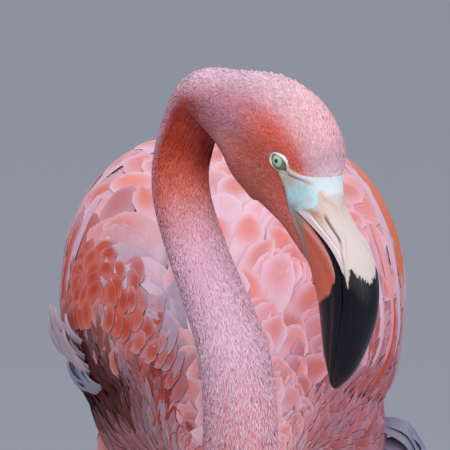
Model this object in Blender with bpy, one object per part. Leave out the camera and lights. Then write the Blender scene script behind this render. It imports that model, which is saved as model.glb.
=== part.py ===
"""A life-size American flamingo standing at rest, its neck in a low S, its head hung and turned.

Metres, +Z up; the tables below are in centimetres. The bird looks along -Y, its left side is
+X, and the floor is Z = 0. Every size is out to the tips of the feathers.
"""

import math

import bmesh
import bpy
import numpy as np

# ---- driving sizes -------------------------------------------------------------------
CM = 0.01
GAP = 0.0003  # clearance between neighbouring pieces
HEAD_YAW = math.radians(45)  # head turned from straight ahead towards the bird's left
HEAD_PITCH = math.radians(37)  # line from nape to bill, below the horizontal
HEAD_CENTRE = np.array([3.57, -29.25, 86.9])  # between the eyes
EYE_RADIUS = 0.70
EYE_PLACE = (0.12, 0.36, 1.42)  # its middle ahead of, above and beside the head's middle
LEG_SPREAD = 5.0  # middle of the bird to the middle of a leg
STRIDE = 1.0  # left foot ahead of, and right foot behind, the stance between them
SOLE_LEVEL = 1.6  # floor to the top of the foot, where the shin starts

UP = np.array([0.0, 0.0, 1.0])
BIRD_LEFT = np.array([1.0, 0.0, 0.0])
FACING = np.array([math.sin(HEAD_YAW), -math.cos(HEAD_YAW), 0.0])
HEAD_LEFT = np.array([math.cos(HEAD_YAW), math.sin(HEAD_YAW), 0.0])
HEAD_FRONT = math.cos(HEAD_PITCH) * FACING - math.sin(HEAD_PITCH) * UP
HEAD_TOP = math.sin(HEAD_PITCH) * FACING + math.cos(HEAD_PITCH) * UP


# ---- shared geometry -----------------------------------------------------------------
def spline(knots, values, at):
    """Natural cubic spline through values at knots, read at the places in `at`."""
    knots, values, at = (np.asarray(v, float) for v in (knots, values, at))
    step = np.diff(knots)
    count = len(knots)
    system = np.eye(count)
    right = np.zeros_like(values)
    for i in range(1, count - 1):
        system[i, i - 1 : i + 2] = step[i - 1], 2 * (step[i - 1] + step[i]), step[i]
        rise = (values[i + 1] - values[i]) / step[i] - (values[i] - values[i - 1]) / step[i - 1]
        right[i] = 6 * rise
    bend = np.linalg.solve(system, right)
    i = np.clip(np.searchsorted(knots, at, side="right") - 1, 0, count - 2)
    shape = at.shape + (1,) * (values.ndim - 1)
    h = step[i].reshape(shape)
    a = ((knots[i + 1] - at) / step[i]).reshape(shape)
    b = 1 - a
    curve = (a**3 - a) * bend[i] + (b**3 - b) * bend[i + 1]
    return a * values[i] + b * values[i + 1] + curve * h * h / 6


def unit(vectors):
    """The vectors, each scaled to length one."""
    vectors = np.asarray(vectors, float)
    return vectors / np.linalg.norm(vectors, axis=-1, keepdims=True)


def lengths(points):
    """Distance along a path from its first point to each of its points."""
    steps = np.linalg.norm(np.diff(points, axis=0), axis=1)
    return np.concatenate([[0], np.cumsum(steps)])


def head_point(front, top, left=0.0):
    """The place that far ahead of, above and left of the head's centre."""
    front, top, left = (np.asarray(v, float)[..., None] for v in (front, top, left))
    return HEAD_CENTRE + front * HEAD_FRONT + top * HEAD_TOP + left * HEAD_LEFT


def ring_points(path, along, left, size, turn, out=0.0, power=1.0):
    """Rings of a tube: at each point of path an oval of size (above, below, beside).

    turn runs round the oval from its left over its top; out moves the surface outwards; a
    power under 1 on the cosine and sine squares the oval off."""
    left = unit(left - (left * along).sum(1, keepdims=True) * along)
    top = np.cross(along, left)
    c, s = np.cos(turn), np.sin(turn)
    above, below, beside = (size[:, i : i + 1] for i in range(3))
    across = (beside + out) * np.sign(c) * np.abs(c) ** power
    rise = (np.where(s > 0, above, below) + out) * np.sign(s) * np.abs(s) ** power
    return (
        path[:, None, :] + across[..., None] * left[:, None, :] + rise[..., None] * top[:, None, :]
    )


def around(count):
    """Evenly spaced angles once round."""
    return (np.arange(count) * 2 * math.pi / count)[None, :]


def tube(stations, steps, sides, left=BIRD_LEFT):
    """Rings along a line given as rows of (x, y, z, above, below, beside)."""
    rows = np.array(stations, float)
    knots = lengths(rows[:, :3])
    at = np.linspace(0, knots[-1], steps)
    path = spline(knots, rows[:, :3], at)
    along = unit(np.gradient(path, at, axis=0))
    left = np.broadcast_to(left, path.shape)
    return ring_points(path, along, left, spline(knots, rows[:, 3:], at), around(sides))


def solid(name, rings, colour=(0.9, 0.42, 0.36), roughness=0.8):
    """One closed solid through a stack of rings in cm, with a flat first and last face."""
    count, sides = rings.shape[:2]
    corner = np.arange(count * sides).reshape(count, sides)
    ahead = np.roll(corner, -1, axis=1)
    quads = np.stack([corner[:-1], ahead[:-1], ahead[1:], corner[1:]], -1).reshape(-1, 4)
    faces = quads.tolist() + [corner[0][::-1].tolist(), corner[-1].tolist()]
    mesh = bpy.data.meshes.new(name)
    mesh.from_pydata((rings.reshape(-1, 3) * CM).tolist(), [], faces)
    work = bmesh.new()
    work.from_mesh(mesh)
    bmesh.ops.recalc_face_normals(work, faces=work.faces)
    work.to_mesh(mesh)
    work.free()
    mesh.shade_smooth()
    mesh.set_sharp_from_angle(angle=math.radians(50))
    made = bpy.data.objects.new(name, mesh)
    bpy.context.scene.collection.objects.link(made)
    material = bpy.data.materials.new(name)
    material.use_nodes = True
    shader = material.node_tree.nodes["Principled BSDF"]
    shader.inputs["Base Color"].default_value = (*colour, 1)
    shader.inputs["Roughness"].default_value = roughness
    mesh.materials.append(material)
    return made


def room(name, rings):
    """A solid that is only used to cut room for a neighbour out of other solids."""
    made = solid(name, rings)
    made.hide_render = True
    made.display_type = "WIRE"
    return made


def cut(piece, tool):
    """Take the tool's shape out of the piece."""
    modifier = piece.modifiers.new("cut", "BOOLEAN")
    modifier.operation = "DIFFERENCE"
    modifier.solver = "EXACT"
    modifier.object = tool


for old in list(bpy.data.objects):
    bpy.data.objects.remove(old)

# ---- body line: tail to face ---------------------------------------------------------
# One tube runs through the bird. The two rows behind the rump only carry the folded wings.
BODY = [
    # x, y, z, above, below, beside
    (0.0, 33.5, 68.0, 0.9, 0.8, 1.7),
    (0.0, 28.0, 70.4, 2.6, 2.2, 3.2),
    (0.0, 22.0, 72.1, 5.2, 4.4, 5.2),
    (0.0, 16.0, 72.9, 8.2, 7.0, 6.9),
    (0.0, 9.0, 73.0, 10.1, 9.4, 8.2),
    (0.0, 2.0, 72.9, 10.9, 10.5, 8.8),
    (0.0, -5.0, 72.2, 10.6, 9.9, 8.7),
    (0.0, -10.5, 70.8, 8.8, 7.4, 7.3),
    (0.0, -14.0, 69.2, 5.3, 4.6, 4.8),
    (0.1, -17.4, 67.2, 3.1, 3.0, 3.0),
    (0.3, -22.8, 65.2, 2.45, 2.4, 2.4),
    (0.5, -26.6, 67.0, 2.2, 2.1, 2.15),
    (0.4, -27.9, 71.0, 2.05, 2.0, 2.05),
    (0.1, -27.7, 75.7, 1.95, 1.9, 1.95),
    (-1.1, -26.4, 79.2, 1.75, 1.7, 1.72),
    (-2.25, -24.7, 82.2, 1.65, 1.55, 1.62),
    (-2.9, -23.5, 85.2, 1.65, 1.5, 1.58),
]
SKULL = [
    # ahead of and above the head's centre, above, below, beside
    (-7.45, -3.5, 1.65, 1.5, 1.6),
    (-7.4, -2.1, 1.6, 1.6, 1.7),
    (-6.2, -1.2, 1.8, 2.05, 1.85),
    (-4.6, -0.65, 2.5, 2.6, 2.05),
    (-3.0, -0.25, 3.1, 3.2, 2.2),
    (-1.5, -0.05, 3.35, 3.55, 2.25),
    (0.0, -0.15, 3.2, 3.45, 2.1),
    (1.2, -0.6, 2.7, 2.9, 1.8),
    (2.4, -1.1, 2.15, 2.25, 1.42),
]
skull = np.array(SKULL)
body_rows = np.vstack(
    [np.array(BODY), np.hstack([head_point(skull[:, 0], skull[:, 1]), skull[:, 2:]])]
)
body_knots = lengths(body_rows[:, :3])
RUMP = body_knots[2] - 1.2  # where the trunk ends and the tail begins
NECK_START = body_knots[9] - 1.0
NECK_END = body_knots[-6]
FACE = body_knots[-1]
TRUNK_POWER = 0.9


def body_ring(at, turn, out=0.0, scale=1.0):
    """Rings round the body line at distances `at` from its tail end."""
    at = np.asarray(at, float)
    path = spline(body_knots, body_rows[:, :3], at)
    along = unit(spline(body_knots, body_rows[:, :3], at + 0.05) - path)
    # The last centimetres turn square to the bill.
    face = np.clip((at - FACE + 2.5) / 2.5, 0, 1)[:, None] ** 2
    along = unit((1 - face) * along + face * HEAD_FRONT)
    twist = np.clip((at - body_knots[13]) / (NECK_END - body_knots[13]), 0, 1)[:, None]
    twist = twist * twist * (3 - 2 * twist)
    left = unit((1 - twist) * BIRD_LEFT + twist * HEAD_LEFT)
    size = spline(body_knots, body_rows[:, 3:], at) * scale
    # The trunk is squarer than an oval, the neck and the head aren't.
    oval = np.clip((at - body_knots[6]) / (body_knots[9] - body_knots[6]), 0, 1)[:, None]
    return ring_points(path, along, left, size, turn, out, TRUNK_POWER + (1 - TRUNK_POWER) * oval)


# ---- trunk ---------------------------------------------------------------------------
TRUNK_SIDES = 28
ROUNDING = 4.0  # length over which the rump closes behind
trunk_at = np.concatenate(
    [RUMP + ROUNDING * np.array([0.0, 0.12, 0.35, 0.65]), np.linspace(RUMP + ROUNDING, NECK_START, 16)]
)
behind = np.clip((RUMP + ROUNDING - trunk_at) / ROUNDING, 0, 0.93)
closing = np.sqrt(1 - behind**2)[:, None]
trunk_at[-1] -= GAP / CM / 2
solid("trunk", body_ring(trunk_at, around(TRUNK_SIDES), scale=closing))
trunk_room = room(
    "trunk_room", body_ring(trunk_at, around(TRUNK_SIDES), out=GAP / CM, scale=closing)
)

# ---- neck in five lengths, and the head ----------------------------------------------
NECK_NAMES = ("neck_base", "neck_bend", "neck_middle", "neck_upper", "neck_arch")
neck_cuts = np.linspace(NECK_START, NECK_END, len(NECK_NAMES) + 1)
for name, start, end in zip(NECK_NAMES, neck_cuts[:-1], neck_cuts[1:]):
    at = np.linspace(start + GAP / CM / 2, end - GAP / CM / 2, 8)
    solid(name, body_ring(at, around(16)))
head = solid("head", body_ring(np.linspace(NECK_END + GAP / CM / 2, FACE, 15), around(24)))

# ---- eyes, each a ball in its own socket ---------------------------------------------
def ball(centre, radius, sides, rows):
    """Rings of a ball."""
    fall = np.linspace(0.06, math.pi - 0.06, rows)[:, None]
    turn = around(sides)
    across = np.stack([np.sin(fall) * np.cos(turn), np.sin(fall) * np.sin(turn)], -1) * radius
    rise = np.broadcast_to(np.cos(fall) * radius, across.shape[:2])
    return (
        centre
        + rise[..., None] * HEAD_LEFT
        + across[..., :1] * HEAD_FRONT
        + across[..., 1:] * HEAD_TOP
    )


for side, label in ((1, "left"), (-1, "right")):
    centre = head_point(EYE_PLACE[0], EYE_PLACE[1], side * EYE_PLACE[2])
    solid("eye_" + label, ball(centre, EYE_RADIUS, 12, 8), (0.62, 0.66, 0.42), 0.1)
    cut(head, room("eye_room_" + label, ball(centre, EYE_RADIUS + GAP / CM, 12, 8)))

# ---- bill: two horny halves that part along a bent mouth line --------------------------
BILL = [
    # ahead and above, upper depth, lower depth, half width, mouth opening
    (2.4, -1.3, 2.35, 2.0, 1.40, 0.03),
    (4.0, -1.2, 1.05, 2.65, 1.38, 0.10),
    (5.6, -1.3, 0.60, 3.15, 1.33, 0.16),
    (6.8, -1.8, 0.68, 3.3, 1.30, 0.16),
    (7.75, -2.85, 0.88, 3.1, 1.25, 0.10),
    (8.4, -4.2, 1.0, 2.6, 1.15, 0.05),
    (8.87, -5.65, 0.9, 1.95, 0.95, 0.03),
    (9.2, -7.1, 0.62, 1.05, 0.6, 0.03),
    (9.33, -8.0, 0.22, 0.22, 0.22, 0.03),
]
bill = np.array(BILL)
mouth = head_point(bill[:, 0], bill[:, 1])
bill_knots = lengths(mouth)
bill_at = np.linspace(GAP / CM, bill_knots[-1], 17)
path = spline(bill_knots, mouth, bill_at)
size = spline(bill_knots, bill[:, 2:], bill_at)
along = unit(spline(bill_knots, mouth, bill_at + 0.05) - path)
square = np.clip(1 - bill_at / 2.5, 0, 1)[:, None] ** 2  # the first rings face the head squarely
along = unit((1 - square) * along + square * HEAD_FRONT)
half = np.linspace(0, math.pi, 11)[None, :]
left = np.broadcast_to(HEAD_LEFT, path.shape)
top = np.cross(along, left)
opening = size[:, 3:4]
solid("bill_upper", ring_points(path, along, left, size, half), (0.9, 0.8, 0.68), 0.35)
lower_size = size[:, :3] - opening * [0, 1, 0]
lower = ring_points(path - opening * top, along, left, lower_size, half + math.pi)
solid("bill_lower", lower, (0.75, 0.3, 0.2), 0.35)

# ---- tail, a flat fan of feathers behind the rump --------------------------------------
TAIL = [
    # x, y, z, above, below, beside
    (0.0, 22.2, 71.3, 0.9, 1.6, 2.2),
    (0.0, 25.0, 70.3, 0.6, 1.1, 3.2),
    (0.0, 29.0, 68.7, 0.35, 0.6, 4.0),
    (0.0, 32.6, 67.2, 0.2, 0.25, 3.6),
    (0.0, 34.0, 66.6, 0.1, 0.1, 2.2),
]
cut(solid("tail", tube(TAIL, 9, 16)), trunk_room)

# ---- wings, folded along the sides and the back ----------------------------------------
WING = [
    # share of the length, upper edge, lower edge (degrees round the body), thickness
    (0.00, 40.0, 22.0, 0.2),
    (0.05, 56.0, 4.0, 0.8),
    (0.18, 72.0, -11.0, 1.6),
    (0.45, 79.0, -13.0, 1.65),
    (0.75, 82.0, -4.0, 1.0),
    (0.92, 80.0, 14.0, 0.45),
    (1.00, 58.0, 34.0, 0.2),
]
WING_FRONT = body_knots[8] - 1.4
WING_EDGE = 0.12
WING_DEPTH = 0.5  # how far the band reaches in before the trunk is taken out of it
wing = np.array(WING)
share = np.concatenate([[0, 0.02, 0.05, 0.1], np.linspace(0.17, 0.92, 9), [0.97, 1.0]])
wing_line = spline(wing[:, 0], wing[:, 1:], share)
across = np.linspace(0, 1, 9)[None, :]
wing_turn = np.radians(wing_line[:, 0:1] * (1 - across) + wing_line[:, 1:2] * across)
bulge = wing_line[:, 2:3] * np.sin(math.pi * across) ** 0.6 + WING_EDGE
turn = np.hstack([wing_turn, wing_turn[:, ::-1]])
out = np.hstack([bulge, np.full_like(bulge, -WING_DEPTH)])
band = body_ring(WING_FRONT * (1 - share), turn, out)
for side, label in ((1, "left"), (-1, "right")):
    cut(solid("wing_" + label, band * [side, 1, 1], (0.9, 0.35, 0.28)), trunk_room)

# ---- legs ----------------------------------------------------------------------------
SHANK_TOP = 51.6  # where the leg leaves the thigh's feathers
FOOT_DOME = 1.25  # radius of the foot's rise to the leg
JOINT = (4.2, SOLE_LEVEL)
THIGH = [
    # beside the leg line, y, z, fore, aft, half width
    (-0.6, 0.6, 70.0, 2.8, 2.8, 2.3),
    (-0.3, 1.2, 67.4, 4.6, 4.6, 3.2),
    (-0.1, 2.4, 62.5, 3.9, 3.9, 2.9),
    (0.1, 3.8, 57.5, 2.3, 2.4, 1.9),
    (0.0, 4.8, 53.5, 1.2, 1.3, 1.1),
    (0.0, 5.3, SHANK_TOP, 0.8, 0.8, 0.75),
]
SHANK = [
    (0.0, 5.3, SHANK_TOP, 0.62, 0.62, 0.55),
    (0.0, 5.9, 44.0, 0.56, 0.56, 0.48),
    (0.0, 6.4, 37.5, 0.68, 0.72, 0.58),
    (0.0, 6.5, 36.0, 0.85, 0.9, 0.72),
]
ANKLE_BULB = [
    (0.0, 6.5, 36.0, 0.85, 0.9, 0.72),
    (0.0, 6.62, 35.0, 1.02, 1.15, 0.92),
    (0.0, 6.66, 33.8, 1.08, 1.25, 1.0),
    (0.0, 6.55, 32.4, 0.9, 1.0, 0.84),
    (0.0, 6.45, 31.2, 0.68, 0.75, 0.62),
]
SHIN = [
    (0.0, 6.45, 31.2, 0.68, 0.75, 0.62),
    (0.0, 6.1, 27.5, 0.52, 0.55, 0.44),
    (0.0, 5.3, 17.0, 0.48, 0.5, 0.4),
    (0.0, 4.5, 6.0, 0.52, 0.55, 0.46),
    (0.0, 4.2, SOLE_LEVEL, 0.66, 0.7, 0.6),
]
PINK = (0.85, 0.5, 0.5)


def leg_tube(stations, side, stride, steps, sides):
    """Rings of one leg piece, with a clearance at both ends; the foot end takes the stride."""
    rows = np.array(stations, float)
    reach = np.clip((SHANK_TOP - rows[:, 2]) / (SHANK_TOP - SOLE_LEVEL), 0, 1)
    rows[:, 0] += LEG_SPREAD
    rows[:, 1] -= stride * reach
    rows[0, 2] -= GAP / CM / 2
    rows[-1, 2] += GAP / CM / 2
    rings = tube(rows, steps, sides, left=BIRD_LEFT)
    rings[0, :, 2], rings[-1, :, 2] = rows[0, 2], rows[-1, 2]
    return rings * [side, 1, 1]


# ---- feet: three webbed toes and a short back toe on flat soles --------------------------
TOES = [
    # name, direction from straight ahead (degrees, outwards), length, half width of the toe
    ("inner", -33.0, 6.4, 0.42),
    ("middle", 0.0, 7.6, 0.46),
    ("outer", 33.0, 7.0, 0.42),
    ("back", 168.0, 1.7, 0.34),
]
WEB = 0.12  # thickness of the web
HEEL = 0.95


def foot_rings(sides=36):
    """A star-shaped flat solid: floor rings outwards, then top rings back in to the joint.

    Its reach follows the toes and the hollowed web between them; its height is a dome at the
    joint and a ridge along each toe."""
    turn = around(sides)[0]
    degrees = (np.degrees(turn) + 180) % 360 - 180
    reach = np.full(sides, HEEL)
    for left_toe, right_toe in zip(TOES[:2], TOES[1:3]):
        part = np.clip((degrees - left_toe[1]) / (right_toe[1] - left_toe[1]), 0, 1)
        web = left_toe[2] * (1 - part) + right_toe[2] * part
        web = web * (1 - 0.24 * np.sin(math.pi * part) ** 0.8)
        reach = np.where((part > 0) & (part < 1), web, reach)
    for name, heading, length, half_width in TOES:
        off = np.abs((degrees - heading + 180) % 360 - 180)
        toe = np.minimum(length, half_width / np.sin(np.radians(np.clip(off, 0.01, 89))))
        reach = np.maximum(reach, np.where(off < 80, toe, 0))
    shares = np.array([0.06, 0.4, 0.8, 1.0])
    radius = shares[:, None] * reach
    flat = np.stack([radius * np.sin(turn), -radius * np.cos(turn)], -1)
    height = np.full(radius.shape, WEB)
    for name, heading, length, half_width in TOES:
        line = np.array([math.sin(math.radians(heading)), -math.cos(math.radians(heading))])
        ahead = flat @ line
        aside = np.abs(flat @ np.array([-line[1], line[0]]))
        ridge = (0.95 - 0.4 * ahead / length) * np.sqrt(np.clip(1 - (aside / half_width) ** 2, 0, 1))
        height = np.maximum(height, np.where(ahead > 0, ridge, 0))
    dome = np.sqrt(np.clip(1 - (radius / FOOT_DOME) ** 2, 0, 1)) * (SOLE_LEVEL + 0.2)
    height = np.minimum(np.maximum(height, dome), SOLE_LEVEL - GAP / CM)
    height[-1] = np.minimum(height[-1], WEB + 0.1)
    floor = np.concatenate([flat, np.zeros(radius.shape + (1,))], -1)
    above = np.concatenate([flat, height[..., None]], -1)
    return np.concatenate([floor, above[::-1]])


def claw_rings(heading, length):
    """A short blunt claw just past a toe's tip, clear of the floor."""
    line = np.array([math.sin(math.radians(heading)), -math.cos(math.radians(heading)), 0.0])
    start = length + GAP / CM
    rows = [
        (*(line * start + UP * 0.30), 0.16, 0.16, 0.2),
        (*(line * (start + 0.4) + UP * 0.30), 0.15, 0.15, 0.17),
        (*(line * (start + 0.8) + UP * 0.2), 0.07, 0.07, 0.07),
    ]
    return tube(rows, 4, 6, left=np.cross(UP, line))


for side, label in ((1, "left"), (-1, "right")):
    stride = STRIDE * side
    pieces = (
        ("thigh_", THIGH, 9, 14, (0.9, 0.42, 0.36)),
        ("shank_", SHANK, 5, 12, PINK),
        ("ankle_", ANKLE_BULB, 6, 12, PINK),
        ("shin_", SHIN, 8, 12, PINK),
    )
    for prefix, stations, steps, sides, colour in pieces:
        made = solid(prefix + label, leg_tube(stations, side, stride, steps, sides), colour)
        if prefix == "thigh_":
            cut(made, trunk_room)
    place = np.array([LEG_SPREAD, JOINT[0] - stride, 0.0])
    solid("foot_" + label, (foot_rings() + place) * [side, 1, 1], PINK)
    for name, heading, length, half_width in TOES:
        claw = (claw_rings(heading, length) + place) * [side, 1, 1]
        solid(f"claw_{label}_{name}", claw, (0.12, 0.1, 0.1), 0.4)
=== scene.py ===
import math

import bpy
import numpy as np
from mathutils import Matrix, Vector


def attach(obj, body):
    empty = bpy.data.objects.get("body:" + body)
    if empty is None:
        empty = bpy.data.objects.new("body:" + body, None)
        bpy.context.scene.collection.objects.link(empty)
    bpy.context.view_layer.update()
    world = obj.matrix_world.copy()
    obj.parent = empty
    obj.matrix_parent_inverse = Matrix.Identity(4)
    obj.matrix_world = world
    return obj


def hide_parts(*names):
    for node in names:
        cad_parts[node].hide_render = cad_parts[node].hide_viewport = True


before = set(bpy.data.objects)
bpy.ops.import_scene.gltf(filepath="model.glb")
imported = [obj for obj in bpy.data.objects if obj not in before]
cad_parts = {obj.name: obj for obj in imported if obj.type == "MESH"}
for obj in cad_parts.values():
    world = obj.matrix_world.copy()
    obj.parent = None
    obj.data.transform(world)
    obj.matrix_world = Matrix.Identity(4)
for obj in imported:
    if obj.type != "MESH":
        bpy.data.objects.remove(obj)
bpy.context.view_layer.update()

# ---- The form of the bird ----------------------------------------------------------------
# One line runs from the tips of the folded wings through the trunk and the neck to the face.
# Ovals round it give the outside of the coat; skin and feathers lie at depths under that.
# Sizes are in centimetres; the bird looks along -Y and its left side is +X.
CM = 0.01
SIDES = ((1, "left"), (-1, "right"))
HEAD_YAW = math.radians(45)
HEAD_PITCH = math.radians(37)
HEAD_CENTRE = np.array([3.57, -29.25, 86.9])
UP = np.array([0.0, 0.0, 1.0])
BIRD_LEFT = np.array([1.0, 0.0, 0.0])
FACING = np.array([math.sin(HEAD_YAW), -math.cos(HEAD_YAW), 0.0])
HEAD_LEFT = np.array([math.cos(HEAD_YAW), math.sin(HEAD_YAW), 0.0])
HEAD_FRONT = math.cos(HEAD_PITCH) * FACING - math.sin(HEAD_PITCH) * UP
HEAD_TOP = math.sin(HEAD_PITCH) * FACING + math.cos(HEAD_PITCH) * UP
HEAD_AXES = np.stack([HEAD_FRONT, HEAD_TOP, HEAD_LEFT])
BODY = [
    # x, y, z, above, below, beside
    (0.0, 33.5, 68.0, 0.9, 0.8, 1.7),
    (0.0, 28.0, 70.4, 2.6, 2.2, 3.2),
    (0.0, 22.0, 72.1, 5.2, 4.4, 5.2),
    (0.0, 16.0, 72.9, 8.2, 7.0, 6.9),
    (0.0, 9.0, 73.0, 10.1, 9.4, 8.2),
    (0.0, 2.0, 72.9, 10.9, 10.5, 8.8),
    (0.0, -5.0, 72.2, 10.6, 9.9, 8.7),
    (0.0, -10.5, 70.8, 8.8, 7.4, 7.3),
    (0.0, -14.0, 69.2, 5.3, 4.6, 4.8),
    (0.1, -17.4, 67.2, 3.1, 3.0, 3.0),
    (0.3, -22.8, 65.2, 2.45, 2.4, 2.4),
    (0.5, -26.6, 67.0, 2.2, 2.1, 2.15),
    (0.4, -27.9, 71.0, 2.05, 2.0, 2.05),
    (0.1, -27.7, 75.7, 1.95, 1.9, 1.95),
    (-1.1, -26.4, 79.2, 1.75, 1.7, 1.72),
    (-2.25, -24.7, 82.2, 1.65, 1.55, 1.62),
    (-2.9, -23.5, 85.2, 1.65, 1.5, 1.58),
]
SKULL = np.array(
    [
        # ahead of and above the head's centre, above, below, beside
        (-7.45, -3.5, 1.65, 1.5, 1.6),
        (-7.4, -2.1, 1.6, 1.6, 1.7),
        (-6.2, -1.2, 1.8, 2.05, 1.85),
        (-4.6, -0.65, 2.5, 2.6, 2.05),
        (-3.0, -0.25, 3.1, 3.2, 2.2),
        (-1.5, -0.05, 3.35, 3.55, 2.25),
        (0.0, -0.15, 3.2, 3.45, 2.1),
        (1.2, -0.6, 2.7, 2.9, 1.8),
        (2.4, -1.1, 2.15, 2.25, 1.42),
    ]
)
BILL = np.array(
    [
        # ahead and above, upper depth, lower depth, half width, mouth opening
        (2.4, -1.3, 2.35, 1.95, 1.40, 0.03),
        (4.0, -1.2, 1.05, 2.55, 1.38, 0.10),
        (5.6, -1.3, 0.60, 3.15, 1.33, 0.16),
        (6.8, -1.8, 0.68, 3.3, 1.30, 0.16),
        (7.75, -2.85, 0.88, 3.1, 1.25, 0.10),
        (8.4, -4.2, 1.0, 2.6, 1.15, 0.05),
        (8.87, -5.65, 0.9, 1.95, 0.95, 0.03),
        (9.2, -7.1, 0.62, 1.05, 0.6, 0.03),
        (9.33, -8.0, 0.22, 0.22, 0.22, 0.03),
    ]
)
BRIDGE = 0.7  # from here behind the face the skin bends over on to the bill
REACH = np.array(
    [
        # degrees from the top of the bill, how far ahead of the face the skin reaches there
        (0, 0.9), (60, 0.9), (78, 0.55), (87, 0.05), (94, 0.05), (100, 0.2),
        (107, 0.5), (114, 0.9), (120, 1.2), (126, 1.6), (180, 1.85),
    ]
)
LID_MIDDLE = np.array([0.124, 0.245])  # ahead of and above the head's centre
EYE_HOLLOW = 0.13
EYE_HOLLOW_WIDTH = 0.85
THROAT = [
    # middle behind the face, spread before it and behind it, how far the throat is fuller there
    (2.0, 0.8, 2.2, 0.18),
    (5.7, 1.2, 1.2, 0.23),
]
TRUNK_POWER = 0.9  # under 1 on a cosine and sine squares an oval off


def spline(knots, values, at):
    """Natural cubic spline through values at knots, read at the places in `at`."""
    knots, values, at = (np.asarray(v, float) for v in (knots, values, at))
    step = np.diff(knots)
    count = len(knots)
    system = np.eye(count)
    right = np.zeros_like(values)
    for i in range(1, count - 1):
        system[i, i - 1 : i + 2] = step[i - 1], 2 * (step[i - 1] + step[i]), step[i]
        rise = (values[i + 1] - values[i]) / step[i] - (values[i] - values[i - 1]) / step[i - 1]
        right[i] = 6 * rise
    bend = np.linalg.solve(system, right)
    i = np.clip(np.searchsorted(knots, at, side="right") - 1, 0, count - 2)
    shape = at.shape + (1,) * (values.ndim - 1)
    h = step[i].reshape(shape)
    a = ((knots[i + 1] - at) / step[i]).reshape(shape)
    b = 1 - a
    curve = (a**3 - a) * bend[i] + (b**3 - b) * bend[i + 1]
    return a * values[i] + b * values[i + 1] + curve * h * h / 6


def alike(*values):
    """The values as arrays of numbers, all of one shape."""
    return np.broadcast_arrays(*(np.asarray(value, float) for value in values))


def unit(vectors):
    """The vectors, each divided by its own length."""
    vectors = np.asarray(vectors, float)
    return vectors / np.linalg.norm(vectors, axis=-1, keepdims=True)


def smooth(low, high, x):
    """0 below low, 1 above high, and 3t^2 - 2t^3 between them."""
    t = np.clip((np.asarray(x, float) - low) / (high - low), 0, 1)
    return t * t * (3 - 2 * t)


def lengths(points):
    """Distance along a path from its first point to each of its points."""
    steps = np.linalg.norm(np.diff(points, axis=0), axis=1)
    return np.concatenate([[0], np.cumsum(steps)])


def head_point(front, top, left=0.0):
    """The head's centre plus front, top and left times the head's three directions."""
    front, top, left = (np.asarray(v, float)[..., None] for v in (front, top, left))
    return HEAD_CENTRE + front * HEAD_FRONT + top * HEAD_TOP + left * HEAD_LEFT


def oval_place(path, along, left, size, turn, out, power=1.0):
    """path + (beside + out) c left + (above or below + out) s top, where c and s are the
    cosine and sine of turn, each raised to power with its sign kept; all arrays by place."""
    left = unit(left - (left * along).sum(-1, keepdims=True) * along)
    top = np.cross(along, left)
    c, s = np.cos(turn), np.sin(turn)
    across = (size[..., 2] + out) * np.sign(c) * np.abs(c) ** power
    rise = (np.where(s > 0, size[..., 0], size[..., 1]) + out) * np.sign(s) * np.abs(s) ** power
    return path + across[..., None] * left + rise[..., None] * top


body_rows = np.vstack(
    [np.array(BODY), np.hstack([head_point(SKULL[:, 0], SKULL[:, 1]), SKULL[:, 2:]])]
)
body_knots = lengths(body_rows[:, :3])
NECK_END = body_knots[-6]
FACE = body_knots[-1]
NECK_LENGTH = FACE - body_knots[9]


def body_place(back, turn, out=0.0):
    """The outside of the coat, `back` behind the face along the body line and turned from
    the bird's left over its back; out moves it outwards."""
    back, turn, out = alike(back, turn, out)
    at = np.clip(FACE - back, 0.0, FACE + 1)
    rows = spline(body_knots, body_rows, at)
    path = rows[..., :3]
    along = unit(spline(body_knots, body_rows[:, :3], at + 0.05) - path)
    face = np.clip((at - FACE + 2.5) / 2.5, 0, 1)[..., None] ** 2
    along = unit((1 - face) * along + face * HEAD_FRONT)
    twist = smooth(body_knots[13], NECK_END, at)[..., None]
    left = unit((1 - twist) * BIRD_LEFT + twist * HEAD_LEFT)
    oval = np.clip((at - body_knots[6]) / (body_knots[9] - body_knots[6]), 0, 1)
    power = TRUNK_POWER + (1 - TRUNK_POWER) * oval
    return oval_place(path, along, left, rows[..., 3:], turn, out, power)


def to_head(places):
    """Places as distances ahead of, above and left of the head's centre."""
    return (places - HEAD_CENTRE) @ HEAD_AXES.T


mouth = head_point(BILL[:, 0], BILL[:, 1])
bill_knots = lengths(mouth)


def bill_line(at):
    """The bill's middle line, its direction and its sizes at distances ahead of the face."""
    ahead = np.clip(at, 0, None)
    path = spline(bill_knots, mouth, ahead)
    along = unit(spline(bill_knots, mouth, ahead + 0.05) - path)
    square = np.clip(1 - at / 2.5, 0, 1)[..., None] ** 2
    along = unit((1 - square) * along + square * HEAD_FRONT)
    path = path + np.minimum(at, 0)[..., None] * HEAD_FRONT
    return path, along, spline(bill_knots, BILL[:, 2:], ahead)


def bill_place(at, turn, out=0.0):
    """The outside of the closed bill: ovals round its middle line, out by the last value."""
    at, turn, out = alike(at, turn, out)
    path, along, size = bill_line(at)
    return oval_place(path, along, np.broadcast_to(HEAD_LEFT, path.shape), size, turn, out)


def from_top(turn):
    """Degrees from the top of the head or the bill, 90 at either side and 180 below."""
    return np.degrees(np.arccos(np.clip(np.sin(turn), -1, 1)))


def bell(x, middle, width):
    """exp(-((x - middle) / width)^2)."""
    return np.exp(-(((x - middle) / width) ** 2))


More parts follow.
